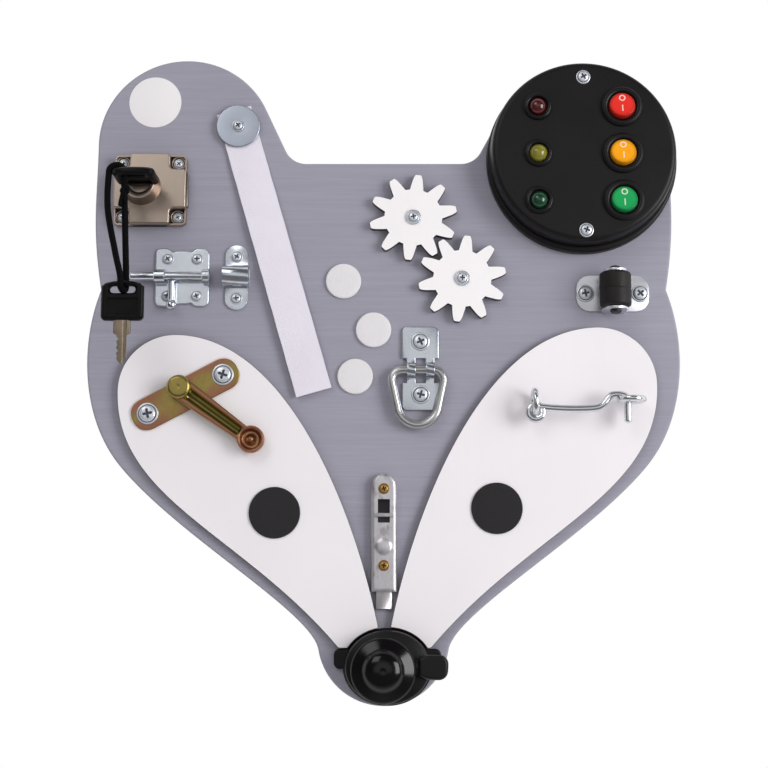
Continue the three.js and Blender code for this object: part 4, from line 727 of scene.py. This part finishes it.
nickel = zinc_plate("brushed_nickel", (158, 142, 130), (192, 176, 164), 0.3, 1.2, "nickel")
# A darker copy of the nickel for the tray under the corner recesses: painted shade on the recess floor.
shaded = zinc_plate("recess_shade_nickel", (36, 31, 30), (64, 56, 52), 0.4, slot="nickel")
steel = zinc_plate("plain_steel", (128, 120, 114), (168, 160, 152), 0.34)
lock_at = np.array([-132.3675, 104.127])
plug_at = lock_at + (-4.3, 0.8)
dressed("lock_back_plate", steel, 0.15)
w, n = 20.5, 11.4
cross = [(-n, -w), (n, -w), (n, -n), (w, -n), (w, n), (n, n)]
cross += [(-x, -y) for x, y in cross]
case = slab(eased(cross, [1.6, 1.6, 2.8] * 4) + lock_at, 1.0, 9.0, 0.9)
piece("lock_case_top", case, nickel, "lock_case", caps=True)
tray = slab(oblong(40.4, 40.4, 2.8) + lock_at, 1.0, 3.4, 0.3)
piece("lock_case_foot", tray, shaded, caps=True)
lip = [(0.3, 1.0), (0.0, 1.3), (0.0, 4.9), (0.2, 5.2), (0.9, 5.2), (1.1, 4.9), (1.1, 3.0), (1.1, 1.0)]
lip_rows = [
    np.insert(oblong(41 - 2 * inset, 41 - 2 * inset, 3.0 - inset), 2, height, 1) for inset, height in lip
]
piece("lock_case_lip", np.stack(lip_rows) + (*lock_at, 0), nickel, around=(True, True))
collar = [(11.0, 8.0), (11.0, 8.6), (10.6, 9.4), (8.8, 17.2), (8.2, 18.0), (7.0, 18.0)]
collar += [(6.25, 17.2), (6.25, 8.0), (11.0, 8.0)]
piece("lock_collar", turned(collar, plug_at, 96, 0.4), nickel)
seat = [(3.3, 3.0), (3.3, 4.2), (3.5, 4.5), (3.9, 4.5), (4.2, 3.0), (3.3, 3.0)]
for sx, sy in ((1, 1), (-1, 1), (-1, -1), (1, -1)):
    spot, corner = lock_at + (15.7 * sx, 15.7 * sy), f"{sx + 1}{sy + 1}"
    piece(f"lock_seat_{corner}", turned(seat, spot, 64, 0.15), nickel)
    screw(f"lock_screw_{corner}", spot, 3.4, 2.9, 1.4, 15 + 20 * sx + 7 * sy)
dressed("lock_plug", nickel, 0.2, body="plug")
dressed("lock_bolt", steel, body="lock_bolt")


# Both keys are flat brass-coloured steel blades in black moulded bows with a slot for the lace.
# The bows have a satin skin, chamfered rims and a shallow panel on either side.
def moulded(name, dark, light, rough=0.42, grain=0.00004, gloss=0.25, slot="black_plastic"):
    """Moulded plastic: an even colour with a fine matt texture and slightly shinier handled patches."""
    made = Finish(name, slot)
    fine = made.noise(1900, 3, 0.6)
    worn = made.noise(45, 3)
    colour = made.mix(dark, light, fine * 0.4 + worn * 0.6)
    dull = rough + 0.18 * (worn - 0.5) + 0.06 * fine
    return made.surface(colour, dull, fine, grain, specular_ior_level=gloss)


black_plastic = moulded("black_plastic", (4, 3, 4), (11, 9, 11), 0.3, 0.00004, 0.14)
blade_steel = Finish("key_blade", "key_steel")
rub = blade_steel.noise((160, 160, 1400), 3, 0.6)
groove_x = -0.1391
groove = abs(blade_steel.place()[0] - groove_x).step(0.0011, 0.0007)
tarnish = blade_steel.noise(140, 3)
# The colour along the milled groove is darkened a little as painted shade.
colour = blade_steel.mix((108, 94, 80), (176, 162, 142), tarnish * 0.6 + rub * 0.4 - groove * 0.25)
blade_steel.surface(colour, 0.3 + 0.2 * rub, rub * 0.2 - groove, 0.0003, metallic=1.0)
for key in ("main_key", "spare_key"):
    dressed(f"{key}_blade", blade_steel, 0.2, body=key)
    dressed(f"{key}_bow", black_plastic, 0.45, body=key, sharp=25)


# The barrel bolt has a pressed plate with two rolled guides, a turned rod and a handle screwed into it.
# Its keeper is a strip with round tabs; all of it is bright zinc plate with round-headed screws.
def lying(profile, centre, height, axis_x=True, facets=56, ease=0.3):
    """A turned profile of radius and place pairs, laid down so that its axis runs along x, or along y."""
    p = turned(profile, (0, 0), facets, ease)
    x, y, h = p[..., 2], p[..., 0], p[..., 1]
    return np.stack([centre[0] + (x if axis_x else y), centre[1] + (y if axis_x else x), height + h], -1)


bolt_at, rod_height = np.array([-113.886, 54.168]), 5.0
bolt_screws = [bolt_at + (8.3 * sx, 10.7 * sy) for sx, sy in ((1, 1), (-1, 1), (-1, -1), (1, -1))]
edge = [(15.3, 16.8), (7.4, 16.8), (5.2, 14.6), (3.2, 15.4)]
edge += [(-x, y) for x, y in edge[::-1]]
scallops = eased(edge + [(-x, -y) for x, y in edge], [3.4, 1.6, 1.4, 1.6, 1.6, 1.4, 1.6, 3.4] * 2)
piece("bolt_plate", slab(scallops + bolt_at, 0, 1.3, 0.6), zinc, "barrel_bolt_plate", caps=True)
for number, (start, end) in enumerate([(-15.2, -9.0), (12.0, 15.9)]):
    roll = [(2.75, start), (3.7, start), (3.95, start + 0.3), (3.95, end - 0.3), (3.7, end), (2.75, end)]
    piece(f"bolt_guide_{number}", lying(roll + roll[:1], bolt_at, rod_height, ease=0), zinc)
keeper_at = bolt_at + (30.75, 0)
keeper_screws = [keeper_at + (0, 12), keeper_at - (0, 12)]
dressed("barrel_bolt_keeper", zinc, 0.35, (keeper_screws, 1.2, 3.2))
screws("bolt_screw", bolt_screws + keeper_screws, 1.2, 3.5, 1.5, 0, 37)
rod = [(0, -29.1), (1.6, -29.1), (2.5, -28.2), (2.5, 15.1), (1.6, 15.95), (0, 15.95)]
piece("bolt_rod", lying(rod, bolt_at, rod_height, ease=0.8), zinc, "barrel_bolt_rod", body="bolt_rod")
ball = [(3.0 * math.sin(a), -16.6 - 3.0 * math.cos(a)) for a in np.radians(np.linspace(0, 138, 16))]
grip = ball + [(1.95, -13.9), (1.95, -3.2), (2.2, -2.7), (0, -2.6)]
grip_rows = lying(grip, bolt_at - (5.3, 0), rod_height, False, 48, 0.15)
piece("bolt_grip", grip_rows, zinc, "barrel_bolt_handle", body="bolt_handle")


# Two gears cut by laser from 4 mm white-faced sheet turn on shouldered screws and mesh.
# The laser leaves their teeth dark brown on the cut edge; ten teeth, full at the belly and flat at the tip.
def gear_outline(turn):
    """One closed outline of ten teeth: each flank is a smooth curve through six radii and half widths."""
    radii, halves = np.array([16.5, 17.3, 19.5, 22.4, 24.2, 25.0]), np.array([3.9, 3.8, 3.4, 2.8, 2.15, 1.5])
    fine = np.linspace(0, 5, 19)
    r = np.interp(fine, np.arange(6), radii)
    off = np.arcsin(np.interp(fine, np.arange(6), halves) / r)
    flank = np.concatenate([np.stack([r, -off], -1), np.stack([r, off], -1)[::-1]])
    teeth = np.arange(10)[:, None] * np.pi / 5 + math.radians(turn)
    angle, radius = flank[None, :, 1] + teeth, np.broadcast_to(flank[None, :, 0], (10, len(flank)))
    return np.stack([radius * np.cos(angle), radius * np.sin(angle)], -1).reshape(-1, 2)


gear_low, gear_high = 0.6, 4.6
gear_paint = white_sheet("gear_paint", gear_low, gear_high, (238, 234, 236), (247, 243, 244))
stud = [(0, 0), (2.6, 0), (2.6, 4.9), (4.3, 4.9), (4.35, 5.2), (4.2, 5.6), (0, 5.6)]
for name, at, turn in (("upper", (16.9, 88.389), 11), ("lower", (44.358, 52.99), 82.6)):
    rows = slab(gear_outline(turn) + at, gear_low, gear_high, 0.2, 2, 0.03)
    piece(f"gear_{name}_sheet", rows, gear_paint, f"gear_{name}", body=f"{name}_gear", caps=True)
    piece(f"gear_{name}_stud", turned(stud, at, 64, 0.15), zinc, f"gear_{name}_screw")
    screw(f"gear_{name}_head", at, 5.5, 3.4, 1.6, turn)


# The lamp box is a black moulded cup with a rounded rim over a wider foot, held by two long screws.
# Three lamps in round bezels stand on the left and three round rockers on the right; all are push-fitted.
lid = 17.2
satin = moulded("satin_black", (14, 12, 13), (24, 21, 22), 0.36, 0.00005)
shell = [(0, lid - 2.2), (49.6, lid - 2.2), (51.0, 4.6), (52.9, 4.6), (51.8, lid - 0.1), (0, lid)]
shell_rows = turned(shell, box_at, 180, [1, 0.3, 0.6, 3.2], 8)
piece("lamp_box", shell_rows, satin, "light_box")
foot = [(50.6, 0), (54.3, 0), (54.1, 4.8), (53.0, 5.6), (50.6, 5.6), (50.6, 0)]
piece("lamp_box_foot", turned(foot, box_at - (0, 1.7), 180, 0.7), satin)
box_screws = [box_at + (0, 44.5 * side - 1.65) for side in (1, -1)]
box_screw_nodes = ("light_box_screw_top", "light_box_screw_bottom")
screws("box_screw", box_screws, lid, 4.1, 2.0, 30, 40, nodes=box_screw_nodes)


def lens(name, dark, light):
    """A tinted lamp lens: clear moulded plastic, slightly cloudy and very smooth."""
    made = Finish(f"{name}_lens", f"{name}_lens")
    cloud = made.noise(260, 2)
    colour = made.mix(dark, light, cloud)
    return made.surface(colour, 0.14 + 0.06 * cloud, cloud, 0.00003, coat_weight=0.35, coat_roughness=0.12)


def marked(name, dark, light, at):
    """A rocker's clear plastic with painted shade darkening it towards its rim, and a white ring over a white
    bar.
    """
    made = Finish(f"{name}_rocker", f"{name}_plastic")
    x, _, z = made.place()
    across, up = x / 0.001 - at[0], z / 0.001 - at[1]
    ring = (across * across + (up - 4.2) * (up - 4.2)) ** 0.5
    circle = abs(ring - 1.5).step(0.42, 0.22)
    stroke = abs(across).step(0.38, 0.24) * abs(up + 2.0).step(2.1, 1.9)
    fine = made.noise(1500, 3)
    worn = made.noise(60, 3)
    # Painted shade: the plastic is darkened towards the rim of the rocker.
    edge = ((across * across + up * up) ** 0.5).step(5.0, 7.4)
    plain = made.mix(dark, light, worn * 0.7 + fine * 0.3)
    plain = made.mix(plain, [0.62 * channel for channel in dark], edge * 0.7)
    colour = made.mix(plain, (244, 226, 216), circle.larger(stroke) * 0.8)
    return made.surface(colour, 0.26 + 0.16 * worn, fine, 0.00002, specular_ior_level=0.35)


def rocker(at):
    """A round rocker over radius and angle: dished along y, soft at the rim, its upper half pressed in."""
    r = np.concatenate([np.linspace(0, 6.6, 15), [6.9, 7.1, 7.2, 7.6, 6.2, 0]])[:, None]
    angle = all_round(96)[None, :]
    x, y = r * np.cos(angle), r * np.sin(angle)
    dish = 1.1 + 0.6 * (y / 7.6) ** 2
    drop = np.concatenate([np.zeros(15), [0.08, 0.3, 0.7]])[:, None]
    h = np.concatenate([dish[:18] - drop, np.broadcast_to([[-1.0], [-5.4], [-5.4]], (3, 96))])
    a, pivot = math.radians(-10), lid + 2
    y_tipped, h_tipped = y * math.cos(a) - h * math.sin(a), y * math.sin(a) + h * math.cos(a)
    return np.stack([at[0] + x, at[1] + y_tipped, pivot + h_tipped], -1)


bezel_black = moulded("bezel_black", (12, 11, 13), (22, 20, 23), 0.26, 0.00003)
bezel = [(5.35, -0.6), (5.35, 1.2), (5.9, 1.9), (6.9, 2.0), (7.8, 1.3), (8.0, -0.6), (5.35, -0.6)]
arch = [(5.25 * math.cos(a), 5.25 * math.sin(a) - 1.2) for a in np.radians(np.linspace(0, 90, 14))]
cup = [(0, -12.3), (7.95, -12.3), (8.0, 1.6), (9.0, 2.25), (10.4, 2.3), (11.6, 1.2), (11.65, 0.2), (9.9, 0.2)]
for name, row, lamp_dark, lamp_light, rocker_dark, rocker_light in (
    ("red", 149.258, (52, 8, 12), (84, 16, 20), (214, 30, 22), (236, 52, 38)),
    ("amber", 122.058, (98, 94, 18), (138, 134, 40), (240, 150, 0), (252, 172, 8)),
    ("green", 94.858, (8, 44, 28), (14, 66, 42), (12, 146, 74), (28, 172, 94)),
):
    lamp_at, switch_at, above = (87.004, row), (134.404, row), (0, 0, lid)
    piece(f"bezel_{name}", turned(bezel, lamp_at, 72, 0.45) + above, bezel_black)
    lamp = turned([(0, -9), (5.25, -9)] + arch, lamp_at, 72) + above
    piece(f"lens_{name}", lamp, lens(name, lamp_dark, lamp_light), f"lamp_{name}")
    flange = turned(cup + [(9.9, -13.7), (0, -13.7)], switch_at, 96, 0.5) + above
    piece(f"flange_{name}", flange, satin, f"switch_body_{name}")
    dye_and_rim_shade = marked(name, rocker_dark, rocker_light, switch_at)
    piece(f"rocker_{name}", rocker(switch_at), dye_and_rim_shade, f"switch_button_{name}", body=f"{name}_button")

dressed("battery_holder", satin, 0.4)
for name, wrap in (("left", "cell_wrap"), ("right", "cell_wrap_2")):
    cell_wrap = moulded(wrap, (96, 112, 124), (124, 138, 150), 0.35, slot="cell_wrap")
    dressed(f"battery_cell_{name}", cell_wrap, 0.4)


# The roller is a rubber-covered wheel on a riveted axle between the ears of a pressed bracket.
# The tread is matt, dusty in patches, and parted by a faint moulding seam.
rubber = Finish("tread_rubber", "black_rubber")
dust = rubber.noise((220, 220, 700), 4, 0.65)
scuff = rubber.noise((1800, 1800, 500), 3)
colour = rubber.mix((14, 10, 12), (36, 28, 28), dust * 0.6 + scuff * 0.3)
rubber.surface(colour, 0.4 + 0.25 * dust, scuff + dust * 0.5, 0.00012, specular_ior_level=0.3)


def two_ended(half_profile):
    """The radius and place pairs of one end, run on to the same pairs mirrored for the other end."""
    return [(r, -place) for r, place in half_profile] + half_profile[::-1]


roller_at, axle_height = np.array([129.371, 45.018]), 11.0
roller_screws = [roller_at - (15.4, 0), roller_at + (15.4, 0)]
bracket_zinc = zinc_plate("bracket_zinc", (212, 214, 222), (246, 247, 251), 0.36)
dressed("roller_bracket", bracket_zinc, 0.4, (roller_screws, 1.2, 4.3))
screws("roller_screw", roller_screws, 1.2, 5.0, 1.9, 10, 30)
shoulder = [(2.3, 9.8), (7.4, 9.8), (8.6, 9.0), (8.8, 7.8), (8.8, 0.35)]
tread = two_ended(shoulder)
tread.insert(len(shoulder), (8.55, 0))
tread_rows = lying(tread + tread[:1], roller_at, axle_height, False, 96, 0.5)
piece("rubber_wheel", tread_rows, rubber, "roller_wheel", body="roller")
pin = two_ended([(0, 13.7), (1.6, 13.6), (2.9, 13.0), (3.3, 12.2), (3.3, 11.75), (2.0, 11.7)])
blackened = zinc_plate("blackened_steel", (52, 50, 54), (92, 90, 96), 0.3)
piece("rivet_axle", lying(pin, roller_at, axle_height, False, 48), blackened, "roller_axle")


# The lashing plate is pressed steel with two bridges, and a welded wire ring hangs from them.
# The ring has a straight bar at the top, sides drawn in and a round foot.
lash_at = np.array([20.729, 0.805])
lash_screws = [lash_at + (0, 16.5), lash_at - (0, 13.6)]
dressed("ring_plate", zinc, 0.4, (lash_screws, 1.8, 4.75))
screws("lash_screw", lash_screws, 1.8, 5.2, 2.0, 25, 50)
wall_turn = 12.03
corners = [
    arc(8.5, -6, 6, 90, -wall_turn, 16),
    arc(0, -19.5, 11.5, -wall_turn, wall_turn - 180, 40),
    arc(-8.5, -6, 6, wall_turn - 180, -270, 16),
    np.stack([np.linspace(-8.5, 8.5, 10)[1:-1], np.zeros(8)], -1),
]
loop = np.insert(np.concatenate(corners) + (19.029, 0.805), 2, 4.5, 1)
ring_steel = zinc_plate("ring_steel", (176, 176, 178), (222, 221, 220), 0.27, 0.3)
piece("wire_ring", tube(loop, 2.4, 28, True), ring_steel, "pull_ring", body="ring", around=(True, True))


# The window latch is heavy pressed steel in yellow zinc, red-brown at its rims and green-gold inside them.
# Its lever is a deep trough that ends in a cup with a cone, and turns on a broad-headed pin.
def yellow_zinc(name, at, degrees, half_width, patches, trough=0.0):
    """Yellow chromate over zinc: red-brown at the rims and olive gold towards the middle line, in broad
    patches. A trough's floor is greener still, with a dark line of painted shade along its middle."""
    made = Finish(name, "yellow_zinc")
    x, y, z = made.place()
    a = math.radians(degrees)
    off_x, off_z = x - at[0] / 1000, z - at[1] / 1000
    aside = abs(off_z * math.cos(a) - off_x * math.sin(a)) / (half_width / 1000)
    drift = made.noise(38, 3, 0.55, 0.5)
    fine = made.noise(900, 3)
    brown = made.mix((132, 82, 56), (186, 138, 112), drift * 0.7 + fine * 0.3)
    gold = made.mix((126, 110, 52), (192, 182, 104), drift * 0.6 + fine * 0.4)
    green = (aside * 0.7 + (drift - 0.5) * 3.4).step(0.75, 0.0) * patches
    if trough:
        ahead = off_x * math.cos(a) + off_z * math.sin(a)
        sunk = ((front - y) / 0.001).step(11.9, 10.9) * ahead.step(trough + 0.001, trough - 0.001)
        green = green.larger(sunk)
        # Painted shade: a dark line along the middle of the trough floor.
        gold = made.mix(gold, (50, 42, 22), sunk * aside.step(0.22, 0.06) * 0.9)
    colour = made.mix(brown, gold, green)
    return made.surface(colour, 0.26 + 0.15 * drift, fine * 0.5 + drift * 0.3, 0.00003, metallic=1.0)


plate_turn, lever_turn = 27.9, -35.8
pin_at = np.array([-112.887, -9.992])
plate_at = turned_to(np.array([1.0, -3.9]), pin_at, plate_turn)
plate = slab(turned_to(oblong(64.8, 18, 8.8, 24), plate_at, plate_turn), 4.0, 5.25, 0.45)
plate_finish = yellow_zinc("latch_base", plate_at, plate_turn, 9.0, 0.8)
piece("latch_base", plate, plate_finish, "latch_plate", caps=True)
latch_screws = [turned_to(np.array([side * 23.4, 0.0]), plate_at, plate_turn) for side in (-1, 1)]
screws("latch_screw", latch_screws, 5.2, 6.2, 2.3, 12, 60)


def ramp(value, low, high):
    """From 0 at low to 1 at high, flat at both ends."""
    k = np.clip((value - low) / (high - low), 0, 1)
    return k * k * (3 - 2 * k)


def trough_lever():
    """Rows along the lever and columns across it. The top is flat, with a trough sunk along the middle and a
    bowl with a cone at the end; both rims are rounded, and the sides drop to the underside."""
    heel, tip, cup_radius, top_height, under_height = 6.5, 49.1, 7.5, 12.1, 7.5
    quarter = np.linspace(0, np.pi / 2, 16)
    round_heel, round_tip = -heel * np.cos(quarter), tip - cup_radius * np.cos(np.linspace(0.62, np.pi, 48))
    s = np.concatenate([round_heel, np.linspace(0, 43, 60)[1:], round_tip])[:, None]
    arm = np.where(s < 0, np.sqrt(np.clip(heel**2 - s**2, 0, None)), heel - 2.2 * np.clip(s, 0, tip) / tip)
    cup = np.sqrt(np.clip(cup_radius**2 - (s - tip) ** 2, 0, None))
    half = np.where(s > tip, cup, np.maximum(arm, cup))
    y = half * np.sin(np.linspace(-np.pi / 2, np.pi / 2, 41))[None, :]
    far = np.hypot(s - tip, y)
    edge = np.minimum(half - abs(y), np.minimum(s + heel, tip + cup_radius - s))
    sunk = 3.0 * ramp(3.1 - 0.5 * s / tip - abs(y), -0.5, 1.5) * ramp(s, 3.5, 7.5) * ramp(42.6 - s, 0, 2.0)
    bowl = 3.2 * ramp(6.3 - far, 0, 1.7) - 3.0 * ramp(3.6 - far, 0, 3.0)
    rounding = 0.8 * (1 - np.clip(edge / 0.9, 0, 1)) ** 2
    top = top_height - np.where(far < cup_radius, bowl, 0) - sunk - rounding
    s = np.broadcast_to(s, y.shape)
    upper, lower = np.stack([s, y, top], -1), np.stack([s, y, np.full_like(y, under_height)], -1)
    return np.concatenate([upper, lower[:, ::-1]], 1)


lever = turned_to(trough_lever(), pin_at, lever_turn)
lever_finish = yellow_zinc("latch_arm", pin_at, lever_turn, 6.8, 0.25, 0.042)
piece("latch_arm", lever, lever_finish, "latch_lever", body="latch", caps=True, sharp=50)
rivet = [(0, 4.3), (3, 4.3), (3, 12.3), (6.65, 12.3), (6.65, 13.9), (5.4, 15.1), (1.2, 15.15), (0, 14.9)]
rivet_finish = yellow_zinc("latch_rivet", pin_at, 0, 9.5, 0.85)
piece("latch_rivet", turned(rivet, pin_at, 80, 0.8), rivet_finish, "latch_pin")


# The slide bolt has a rolled steel cover, tumbled to a soft silver, and a flat bar with a raised thumb tab.
# The cover is open over the tab and dimpled below it, and brass screws hold its two ends.
slide_at = np.array([0.1998, -89.304])


def rolled_cover():
    """Rows up the cover and columns across it: flat on top, rolled down at the sides and the round upper end,
    with a sunken window and a low round dimple."""
    foot, shoulder, wide, roll_in = -32.3, 25, 7.3, 2.4
    straight = [np.linspace(foot, -5.6, 40), np.linspace(-5.4, 5.15, 14), [5.3, 5.5, 17.9, 18.1]]
    straight += [np.linspace(18.6, shoulder, 8), shoulder + wide * np.sin(np.linspace(0, np.pi / 2, 22))[1:]]
    y = np.concatenate(straight)[:, None]
    half = np.sqrt(np.clip(wide**2 - np.clip(y - shoulder, 0, None) ** 2, 0, None))
    rim = np.cos(np.linspace(0, np.pi / 2, 14))[:9]
    t = np.concatenate([-rim, [-0.452], np.linspace(-0.425, 0.425, 19), [0.452], rim[::-1]])[None, :]
    x = half * t
    edge = np.minimum(half - abs(x), np.minimum(shoulder + wide - y, y - foot + 1.0))
    roll = np.clip(1 - edge / roll_in, 0, 1)
    h = 4.85 - 2.6 * (1 - np.sqrt(np.clip(1 - roll**2, 0, 1)))
    h = h + np.clip(1 - (np.hypot(x, y + 7.7) / 4.4) ** 2, 0, 1) ** 0.6
    h = np.where((abs(x) < 3.2) & (abs(y - 11.6) < 6.35), 0.15, h)
    grid = np.stack([x, np.broadcast_to(y, x.shape), h], -1)
    skirt = grid[:, [0, -1]] * (1, 1, 0)
    return np.concatenate([skirt[:, :1], grid, skirt[:, 1:]], 1)


tumbled = Finish("tumbled_steel", "zinc")
x, y, z = tumbled.place()
worn, drawn = tumbled.noise((110, 110, 60), 3), tumbled.noise((900, 900, 160), 3)
smudge = tumbled.noise((260, 260, 140), 4, 0.6).step(0.5, 0.72)
window_x, window_z = 0.0002, -0.0777
# Painted shade darkens the sunken floor of the window.
window_shade = ((front - y) / 0.001).step(3.9, 3.0) * (abs(x - window_x) / 0.001).step(3.4, 3.1)
window_shade = window_shade * (abs(z - window_z) / 0.001).step(6.6, 6.3)
silver = tumbled.mix((176, 171, 178), (240, 237, 241), worn * 0.7 + drawn * 0.3)
silver = tumbled.mix(silver, (122, 116, 120), smudge * 0.55)
colour = tumbled.mix(silver, (58, 54, 60), window_shade)
tumbled.surface(colour, 0.3 + 0.12 * worn, drawn, 0.00002, metallic=0.75)
cover = rolled_cover() + (*slide_at, 0)
piece("slide_cover", cover, tumbled, "slide_bolt_cover", caps=True, sharp=45)
brass = screw_finish("brass_screw", (150, 112, 58), (196, 160, 96), (40, 26, 16))
screws("slide_screw", [(slide_at[0], y_mm) for y_mm in (-65.5, -107.5)], 4.8, 3.1, 1.3, 20, 60, brass)
satin_bar = Finish("slide_bar_steel", "zinc")
_, y, z = satin_bar.place()
cloud = satin_bar.noise((300, 300, 90), 3)
# Painted shade darkens the bar where it runs under the cover.
under_cover_shade = ((front - y) / 0.001).step(4.4, 3.8) * z.step(-0.118, -0.117)
silver = satin_bar.mix((168, 164, 168), (206, 202, 206), cloud)
colour = satin_bar.mix(silver, (72, 68, 74), under_cover_shade)
satin_bar.surface(colour, 0.34 + 0.1 * cloud, cloud, 0.00002, metallic=0.8)
dressed("slide_bolt_bar", satin_bar, body="slide_bar")


# The cabin hook is bent from bright wire and hangs on a screw eye; the second eye catches it.
# The eyes are rings of the same wire with a threaded shank in the board.
hook_at, catch_at = np.array([83.25, -18.483]), np.array([136.45, -17.083])
eye_height, eye_radius = 13.0, 6.4
bright = zinc_plate("bright_wire", (206, 208, 214), (240, 241, 244), 0.16, 0.2)
circle = all_round(64)
shank = [(0, -4), (1.5, -3), (1.5, 4.0), (2.5, 4.1), (2.4, 4.5), (1.5, 4.9), (1.5, 6.6), (0, 6.6)]
for name, at, way in (("hook_eye", hook_at, (0, 1)), ("catch_eye", catch_at, (1, 0))):
    ring = np.stack([np.cos(circle) * way[0], np.cos(circle) * way[1], np.sin(circle)], -1)
    ring = ring * eye_radius + (*at, eye_height)
    piece(f"{name}_ring", tube(ring, 1.8, 20, True), bright, name, around=(True, True))
    piece(f"{name}_shank", turned(shank, at, 36, 0.2), bright)
shaft = np.concatenate(
    [
        [(1.85, 3.6), (5.2, 3.4), (8.5, 3.1), (12.9, 2.8), (18, 2.6), (26, 2.6), (32, 2.9)],
        bend((33, 3.0), (39.6, 3.6), (39.2, 10.4), (44.2, 10.5), 9)[1:],
        [(47.2, 10.4), (49.4, 9.8), (50.7, 8.6), (51, 7.0), (51, 2), (51, -5.4)],
    ]
)
shaft = along(np.insert(shaft + hook_at - (0, eye_radius), 2, eye_height, 1), 160)
girth = 2.1 * np.concatenate([np.ones(156), [0.97, 0.87, 0.67, 0.33]])
piece("hook_wire", tube(shaft, girth, 20), bright, "cabin_hook", body="hook", caps=True)
eyelet_at = hook_at + (0.4, -5.6)
eyelet = np.stack([np.cos(circle), np.sin(circle), 0 * circle], -1) * 4.0 + (*eyelet_at, eye_height)
piece("hook_eyelet", tube(eyelet, 2.0, 20, True), bright, body="hook", around=(True, True))


# The bell is black: an oval satin foot with lugs, a glossy stepped dome on a post, and a thumb lever.
# The dome has a shallow dimple over its post, and the lever ends in a rounded pad.
dome_at = bell_at - (2.4, 1.4)
gloss = moulded("gloss_black", (6, 4, 6), (14, 11, 13), 0.14, 0.00001, 0.34)


def oval(rows, at, facets=128):
    """Rows of x radius, y radius and height, each an ellipse about a point."""
    rows = np.asarray(rows, float)[:, None, :]
    angle = all_round(facets)[None, :]
    x, y = at[0] + rows[..., 0] * np.cos(angle), at[1] + rows[..., 1] * np.sin(angle)
    return np.stack([x, y, np.broadcast_to(rows[..., 2], x.shape)], -1)


foot = [(0, 0, 0), (24.1, 20.6, 0), (24.3, 20.8, 0.4), (24.3, 20.8, 2.2), (24.0, 20.5, 2.8)]
foot += [(23.4, 19.9, 3.0), (23.2, 19.7, 3.4), (22.8, 19.5, 11.6), (22.4, 19.1, 12.5), (21.7, 18.4, 13.0)]
foot += [(10, 8, 13.1), (0, 0, 13.1)]
piece("bell_foot", oval(foot, bell_at), satin, "bell_base", sharp=50)
lugs = slab(oblong(58.4, 11, 3.67) + bell_at + (0, 4.2), 0, 3.0, 0.8)
piece("bell_lugs", lugs, satin, caps=True)
post = turned([(0, 12.5), (3.4, 12.5), (3.4, 24), (0, 24)], dome_at, 48, 0.2)
piece("bell_post", post, satin)
cap = [(0, 24.6), (9.8, 21.6), (15.2, 18.6), (16.2, 17.6), (17.4, 17.6), (17.4, 19.2), (16.5, 20.0)]
crown = [(10.7 * math.cos(a), 22.9 + 4.8 * math.sin(a)) for a in np.radians(np.linspace(4, 80, 14))]
cap += [(11.4, 22.4), (10.8, 22.9), *crown, (1.4, 27.5), (0, 27.2)]
cap_rows = turned(cap, dome_at, 144, 0.35)
piece("bell_cap", cap_rows, gloss, "bell_dome", sharp=40)
lever_at, thumb_low = np.array([17.3645, -161.555]), 13.3
pad_outline = [(17.6, 6.2), (5.6, 6.6), (1.2, 4.4), (1.2, -4.4), (5.6, -6.6), (16.8, -7.0)]
pad = slab(eased(pad_outline, [5.2, 3, 1.2, 1.2, 3, 5.2]) + lever_at, thumb_low, 19.0, 1.9, 6)
piece("thumb_pad", pad, satin, "bell_lever", body="bell_thumb", caps=True)
arm = eased([(7.4, 5), (-2.4, 3.2), (-3.4, 0), (-2.4, -3.2), (7.4, -5)], 1.5) + lever_at
piece("thumb_arm", slab(arm, thumb_low, 16.3, 0.5), satin, body="bell_thumb", caps=True)
bolt = turned([(0, 12.6), (1.5, 12.6), (1.5, 16.4), (2.4, 16.5), (2.2, 17.3), (0, 17.6)], lever_at, 40, 0.25)
piece("bell_pivot", bolt, satin)


# A round paper sticker is stuck on the left ear. The paper is thin and matt, and its face is plain white.
# It is punched out, so its rim is sharp, and only a sixth of a millimetre stands above the paint.
paper = moulded("sticker_paper", (230, 226, 229), (240, 236, 238), 0.55, 0.00002, 0.4, "white_tape")
label = turned([(0, 0.0), (15, 0.0), (15, 0.14), (14.9, 0.16), (0, 0.16)], (-131.6, 157.8), 96)
piece("plain_sticker", label, paper)
